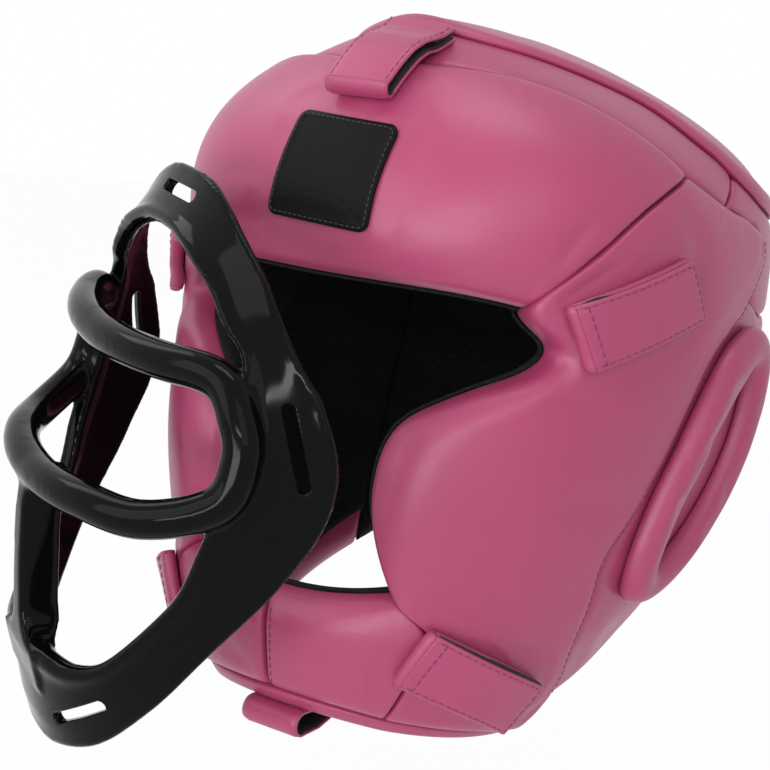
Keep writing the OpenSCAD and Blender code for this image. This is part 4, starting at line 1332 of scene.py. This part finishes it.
def badge_height(x, y):
    """Height of the patch's face: a rolled edge, a raised border and the field a little lower."""
    across = np.abs(x) - (BADGE_W / 2 - BADGE_CORNER)
    along = np.abs(y) - (BADGE_H / 2 - BADGE_CORNER)
    corner = np.hypot(np.maximum(across, 0), np.maximum(along, 0))
    d = BADGE_CORNER - np.where((across > 0) & (along > 0), corner, np.maximum(across, along))
    rolled = -BADGE_ROLL * np.clip(1 - d / BADGE_EDGE, 0, 1)
    field = -BADGE_SUNK * np.clip((d - BADGE_EDGE - BADGE_BORDER) / BADGE_STEP_W, 0, 1)
    return BADGE_T + rolled + field


def badge_piece():
    bm = badge_patch()
    raised = set(only_verts(bmesh.ops.extrude_face_region(bm, geom=bm.faces[:])["geom"]))
    flat = positions(bm)
    lifted = np.array([vert in raised for vert in bm.verts])
    height = np.where(lifted, badge_height(flat[:, 0], flat[:, 1]), 0.0)
    move_to(bm, badge_point(flat[:, 1], flat[:, 0] / BADGE_W + 0.5, height))
    piece_from(outward(bm), "badge_patch", PATCH, "guard", ["badge"])


def badge_stitches():
    """Black stitches along the middle of the border, cutting its corners a little."""
    line = BADGE_EDGE + BADGE_BORDER / 2
    top = BADGE_H / 2 - line
    first = line / BADGE_W
    last = 1 - first
    cut_s = 1.3
    cut_w = 0.03
    path = [(top, first + cut_w), (top, last - cut_w), (top - cut_s, last), (cut_s - top, last),
            (-top, last - cut_w), (-top, first + cut_w), (cut_s - top, first), (top - cut_s, first),
            (top, first + cut_w)]
    thread = spun_thread("black thread", BLACK_THREAD, BLACK_THREAD_LIGHT)
    stitch_row("badge_stitches", badge_point, dense_path(path, level_height(BADGE_T - 0.02)), thread,
               "guard", pitch=2.2, thread=0.26)


badge_piece()
badge_stitches()

# The rear closure: a loop patch on the left rear pad, and the strap sewn to the right one
REAR_LEVEL = -8
REAR_GAP = PAD_SWELL + TAB_GAP
LOOP_L = 46
REAR_TAPE_TO = 0.45
REAR_COVER_FROM = 0.5


def rear_point(s, w, h):
    """Place on the closure: s millimetres to the right of the back's middle, w the share of the width."""
    return on_skin(stack(180 + np.degrees(s / GUARD_BACK) * 0.97,
                         REAR_LEVEL + (w - 0.5) * STRAP_W / JAW_DROP * 100), h)


def rear_closure():
    half = STRAP_L / 2
    start = 2 - half
    low = REAR_GAP + HOOK_T + 2 * TAB_GAP

    def stepped(s):
        """How far the strap has come down off the loop patch, from 0 to the whole step."""
        return (HOOK_T + TAB_GAP) * np.interp(s, [-6, 8], [0, 1])

    def top(s, w):
        d = np.minimum(np.minimum(w, 1 - w) * STRAP_W, np.minimum(s + half, half - s))
        return low + TAB_T - 0.8 * stepped(s) - pulled_edge(d, 0.45, 0.75)

    def middle(s, w):
        return low - stepped(s) + REAR_COVER_FROM

    def tape_top(s, w):
        return low - stepped(s) + REAR_TAPE_TO

    def under(s, w):
        return low - stepped(s)

    strap_piece("rear_loop_tape", rear_point, (start, start + LOOP_L), level_height(REAR_GAP + HOOK_T),
                level_height(REAR_GAP), (40, 24), TAPE, "guard", ["rear_loop_patch"],
                width=STRAP_W)
    strap_piece("rear_strap_cover", rear_point, (-half, half), top, middle, (120, 48), COVER,
                "rear_closure", ["rear_strap"], width=STRAP_W)
    strap_piece("rear_strap_tape", rear_point, (1 - half, 0), tape_top, under, (60, 16), TAPE,
                "rear_closure", inset=0.8, width=STRAP_W)
    inner = STITCH_IN / STRAP_W
    end = half - STITCH_IN
    corners = [(-end, inner), (end, inner), (end, 1 - inner), (-end, 1 - inner), (-end, inner)]
    path = dense_path(corners, lambda s, w: top(s, w) + STITCH_UP)
    stitch_row("rear_strap_stitches", rear_point, path, THREAD, "rear_closure")


rear_closure()

# The face cage in its own frame, as worn: level, then half width and front as shares of the sizes above
CAGE_PROFILE = [[-100, 0.69, 0.94], [-86, 0.785, 0.97], [-61, 0.875, 0.99], [-10, 0.97, 1],
                [5, 0.99, 0.98], [31, 1, 0.925], [51, 0.98, 0.857], [70, 0.93, 0.786],
                [91, 0.845, 0.706], [100, 0.79, 0.677]]

# The cage's lines, each point an angle and a height, and for the bars also how far out they stand
CAGE_OUTER = [[0, 106.5], [9, 105.2], [19.5, 98.5], [33.5, 84.8], [42, 72], [50.5, 56.5], [56, 46],
              [61, 28], [61.5, 8], [57, -15], [48, -40], [38, -65], [26, -84], [10, -93], [0, -95]]
CAGE_INNER = [[0, 87], [6, 86], [14, 82], [24, 75], [32, 65], [38, 58], [42, 46], [44, 28], [44, 10],
              [42, -15], [37, -31], [27, -50], [18, -56], [9, -56], [0, -56]]
CAGE_BAR = [[0, 51, -0.9], [20, 51.5, -0.7], [36, 50, 0.1], [43.5, 38, 0.8], [46, 27, 1],
            [44.5, 13, 1.2], [32.5, 4, 0.8], [17.5, 3.5, 0.2], [0, 2, -0.2]]
TOP_SLOT = [[-6.3, 98], [6.3, 98]]
SIDE_SLOTS = [[[50.5, 44.5], [57, 20.5]], [[12, -81], [29.5, -64.5]]]

# The rim's section from the opening outwards: share across, then heights of its outer and inner face
CAGE_SECTION = [[0, 0.8, -0.8], [0.1, 2.8, -2], [0.24, 0.6, 0], [0.6, 0, 0], [0.88, 0, 0],
                [0.95, 0.7, 0], [1, -0.6, 0.8]]
SECTION_MM = 30

# Where the cage stands beside the guard, how fine its skin is and how often that is smoothed
CAGE_PIVOT = Vector((0, -110, 15))
CAGE_TURN = (math.radians(3.05), math.radians(4.88), math.radians(-28.84))
CAGE_MOVE = Vector((-31.8, -47.9, -22.8))
CAGE_CELL = 0.88
CAGE_SMOOTHED = 22

# Where the strut starts and how far down it runs
STRUT_TOP = 3
STRUT_L = 75


def cage_skin(at):
    z = at[..., 1]
    t = np.where(z >= 0, z / CAGE_UP * 100, z / CAGE_DOWN * 100)
    e = 2 / CAGE_ROUND
    a = np.radians(at[..., 0])
    x = share(CAGE_PROFILE, t, WIDTH) * CAGE_HALF_W * np.sign(np.sin(a)) * np.abs(np.sin(a)) ** e
    return stack(x, -share(CAGE_PROFILE, t, FRONT) * CAGE_FRONT * np.cos(a) ** e, z)


def cage_out(at):
    return unit(np.cross(cage_skin(at + [4, 0]) - cage_skin(at - [4, 0]),
                         cage_skin(at + [0, 5]) - cage_skin(at - [0, 5])))


def on_cage(at, out):
    return cage_skin(at) + np.asarray(out)[..., None] * cage_out(at)


def cage_shell():
    """The rim of the cage: a curved wall from the face opening to its outer edge, raised at both."""
    section = np.array(CAGE_SECTION, float)
    outside = section[:, :2]
    inside = np.stack([section[:, 0], section[:, 2] - CAGE_WALL], axis=-1)[::-1]
    loop = np.concatenate([outside, inside, outside[:1]])
    pieces = np.abs(np.diff(loop[:, 0])) * SECTION_MM + np.abs(np.diff(loop[:, 1]))
    lengths = np.concatenate([[0], np.cumsum(pieces)])
    bm = ring(240, 44)
    flat = positions(bm)
    k = flat[:, 1] * lengths[-1]
    across = np.interp(k, lengths, loop[:, 0])
    height = np.interp(k, lengths, loop[:, 1])
    turn = 2 * flat[:, 0] - 1
    near = folded(CAGE_INNER, turn)
    far = folded(CAGE_OUTER, turn)
    move_to(bm, on_cage(near + (far - near) * across[:, None], height))
    return close_ring(bm)


def bar_line(turn):
    p = folded(CAGE_BAR, turn)
    return on_cage(p[:, :2], p[:, 2] * BAR_OUT)


def cage_bar():
    """Brow bar and nose bar, one closed tube that stands a little in front of the shell."""
    bm = ring(220, 24)
    flat = positions(bm)
    turn = 2 * flat[:, 0] - 1
    n = cage_out(folded(CAGE_BAR, turn)[:, :2])
    across = unit(np.cross(n, direction(bar_line, turn, 0.01)))
    b = flat[:, 1] * 2 * np.pi
    move_to(bm, bar_line(turn) + BAR_D / 2 * (across * np.cos(b)[:, None] + n * np.sin(b)[:, None]))
    return close_ring(bm)


def cage_strut():
    """The deep-walled strut between the two lower openings. Its foot flares and gets shallower."""
    bm = two_skins(70, 12)
    flat = positions(bm)
    z = STRUT_TOP - STRUT_L * flat[:, 0]
    behind = STRUT_DEPTH * np.interp(z, [-72, -62, -52], [0.35, 0.55, 1])
    ahead = 2.6 - 2.2 * np.clip((-58 - z) / 12, 0, 1)
    depth = np.where(flat[:, 2] > 0, ahead, 2.5 - behind)
    flare = np.clip((-45 - z) / STRUT_FILLET, 0, 1)
    width = STRUT_W + 2 * STRUT_FILLET * (1 - np.sqrt(1 - flare ** 2))
    base = cage_skin(stack(np.zeros_like(z), z))
    move_to(bm, base + stack((flat[:, 1] - 0.5) * width, -depth, np.zeros_like(z)))
    return outward(bm)


def slot_cutter(ends, mirror=False):
    """A stadium-shaped plug that cuts one strap slot."""
    a = np.array(ends[0], float)
    b = np.array(ends[1], float)
    x = unit(cage_skin(b) - cage_skin(a))
    n = cage_out((a + b) / 2)
    y = np.cross(n, x)
    middle = cage_skin((a + b) / 2)
    half = (SLOT_L - SLOT_W) / 2
    bm = bmesh.new()
    bmesh.ops.create_circle(bm, cap_ends=True, segments=32, radius=SLOT_W / 2)
    right = [vert for vert in bm.verts if vert.co.x > 0.0001]
    left = [vert for vert in bm.verts if vert.co.x < -0.0001]
    bmesh.ops.translate(bm, verts=right, vec=(half, 0, 0))
    bmesh.ops.translate(bm, verts=left, vec=(-half, 0, 0))
    bmesh.ops.translate(bm, verts=bm.verts, vec=(0, 0, -3 * CAGE_WALL))
    grown = bmesh.ops.extrude_face_region(bm, geom=bm.faces[:])["geom"]
    bmesh.ops.translate(bm, verts=only_verts(grown), vec=(0, 0, 6 * CAGE_WALL))
    turn = Matrix((x, y, n)).transposed().to_4x4()
    place = Matrix.Translation(middle) @ turn
    bmesh.ops.transform(bm, matrix=Matrix.Scale(MM, 4) @ place, verts=bm.verts)
    if mirror:
        mirror_over(bm)
    return outward(bm)


def joined(whole, part, operation):
    """Adds a part to a whole, or cuts it out."""
    join = whole.modifiers.new(part.name, "BOOLEAN")
    join.operation = operation
    join.solver = "EXACT"
    join.object = part


def moulded_cage():
    """One moulding: rim, bars and strut run into each other with soft fillets, and the slots are cut
    through."""
    whole = object_from(cage_shell(), "cage_shell")
    parts = [object_from(cage_bar(), "cage_bar"), object_from(cage_strut(), "cage_strut")]
    cutters = [object_from(slot_cutter(TOP_SLOT), "top_slot")]
    for ends in SIDE_SLOTS:
        for mirror in (False, True):
            cutters.append(object_from(slot_cutter(ends, mirror), "side_slot"))
    for part in parts:
        joined(whole, part, "UNION")
    remesh = whole.modifiers.new("even skin", "REMESH")
    remesh.mode = "VOXEL"
    remesh.voxel_size = CAGE_CELL * MM
    fillet = whole.modifiers.new("fillets", "SMOOTH")
    fillet.factor = 0.5
    fillet.iterations = CAGE_SMOOTHED
    for cutter in cutters:
        joined(whole, cutter, "DIFFERENCE")
    mesh = applied(whole)
    for spare in parts + cutters + [whole]:
        bpy.data.objects.remove(spare)
    bm = bmesh.new()
    bm.from_mesh(mesh)
    place = (Matrix.Translation((CAGE_PIVOT + CAGE_MOVE) * MM)
             @ Matrix.Rotation(CAGE_TURN[2], 4, "Z") @ Matrix.Rotation(CAGE_TURN[1], 4, "Y")
             @ Matrix.Rotation(CAGE_TURN[0], 4, "X") @ Matrix.Translation(-CAGE_PIVOT * MM))
    bmesh.ops.transform(bm, matrix=place, verts=bm.verts)
    piece_from(bm, "cage_moulding", CAGE, "cage", ["face_cage"])


moulded_cage()

# The floor, the background and the studio light, in metres
FLOOR_Z = -0.172
BACKDROP_SIZE = 6.0
FLOOR_WHITE = 0.97
ROOM_LIGHT = 0.34


def seen(tree):
    """The light path, and 1 for what the camera sees straight or in a gloss."""
    path = add_node(tree, "ShaderNodeLightPath")
    either = add_node(tree, "ShaderNodeMath", {0: path.outputs["Is Camera Ray"],
                                               1: path.outputs["Is Glossy Ray"]}, operation="MAXIMUM")
    return path, either.outputs[0]


def pale_floor():
    """Matt white sweep: nearly the background's white to the eye, with the object's faint shadow on it."""
    material = bpy.data.materials.new("matt white floor")
    material.use_nodes = True
    tree = material.node_tree
    tree.nodes.clear()
    matt = add_node(tree, "ShaderNodeBsdfDiffuse", {"Color": linear(PALE_FLOOR)})
    white = add_node(tree, "ShaderNodeEmission", {"Color": WHITE, "Strength": 1.0})
    _, direct = seen(tree)
    amount = add_node(tree, "ShaderNodeMath", {0: direct, 1: FLOOR_WHITE}, operation="MULTIPLY")
    mixed = add_node(tree, "ShaderNodeMixShader", {0: amount.outputs[0], 1: matt.outputs[0],
                                                   2: white.outputs[0]})
    add_node(tree, "ShaderNodeOutputMaterial", {"Surface": mixed.outputs[0]})
    return material


def lay_floor():
    bm = bmesh.new()
    bmesh.ops.create_grid(bm, x_segments=1, y_segments=1, size=BACKDROP_SIZE / 2,
                          matrix=Matrix.Translation((0, 0, FLOOR_Z)))
    floor = object_from(bm, "floor")
    floor.data.materials.append(pale_floor())


def light_background():
    """A room of plain light that the camera sees as white, also in a gloss and through clear things."""
    world = bpy.data.worlds.new("white studio")
    world.use_nodes = True
    tree = world.node_tree
    tree.nodes.clear()
    room = add_node(tree, "ShaderNodeBackground", {"Color": WHITE, "Strength": ROOM_LIGHT})
    white = add_node(tree, "ShaderNodeBackground", {"Color": WHITE, "Strength": 1.0})
    path, direct = seen(tree)
    through_clear = add_node(tree, "ShaderNodeMath", {0: direct,
                                                      1: path.outputs["Is Transmission Ray"]},
                             operation="MAXIMUM")
    mixed = add_node(tree, "ShaderNodeMixShader", {0: through_clear.outputs[0], 1: room.outputs[0],
                                                   2: white.outputs[0]})
    add_node(tree, "ShaderNodeOutputWorld", {"Surface": mixed.outputs[0]})
    bpy.context.scene.world = world


def soft_box(name, place, aim, size, watts):
    """A soft box at a place, turned to an aim."""
    data = bpy.data.lights.new(name, "AREA")
    data.shape = "RECTANGLE"
    data.size = size[0]
    data.size_y = size[1]
    data.energy = watts
    lamp = bpy.data.objects.new(name, data)
    lamp.location = place
    lamp.rotation_euler = (Vector(aim) - Vector(place)).to_track_quat("-Z", "Y").to_euler()
    bpy.context.scene.collection.objects.link(lamp)


lay_floor()
light_background()
soft_box("key light", (-0.49, -1.22, 0.48), (0, 0, 0), (0.8, 0.9), 4.7)
soft_box("right light", (0.97, -0.82, 0.59), (0, 0, 0), (0.7, 0.9), 2.3)
soft_box("front strip", (0.57, -1.32, 0.345), (0.04, -0.19, 0.02), (0.5, 0.1), 2.8)
soft_box("low front light", (0.2, -1.36, -0.07), (0, 0, -0.05), (0.9, 0.14), 4.6)
soft_box("left side light", (-0.98, -0.17, 0.99), (0, 0, 0), (0.4, 0.6), 2)
soft_box("top light", (0.1, -0.24, 1.38), (0, 0, 0), (0.8, 0.3), 4)
bpy.context.scene.view_settings.view_transform = "Standard"
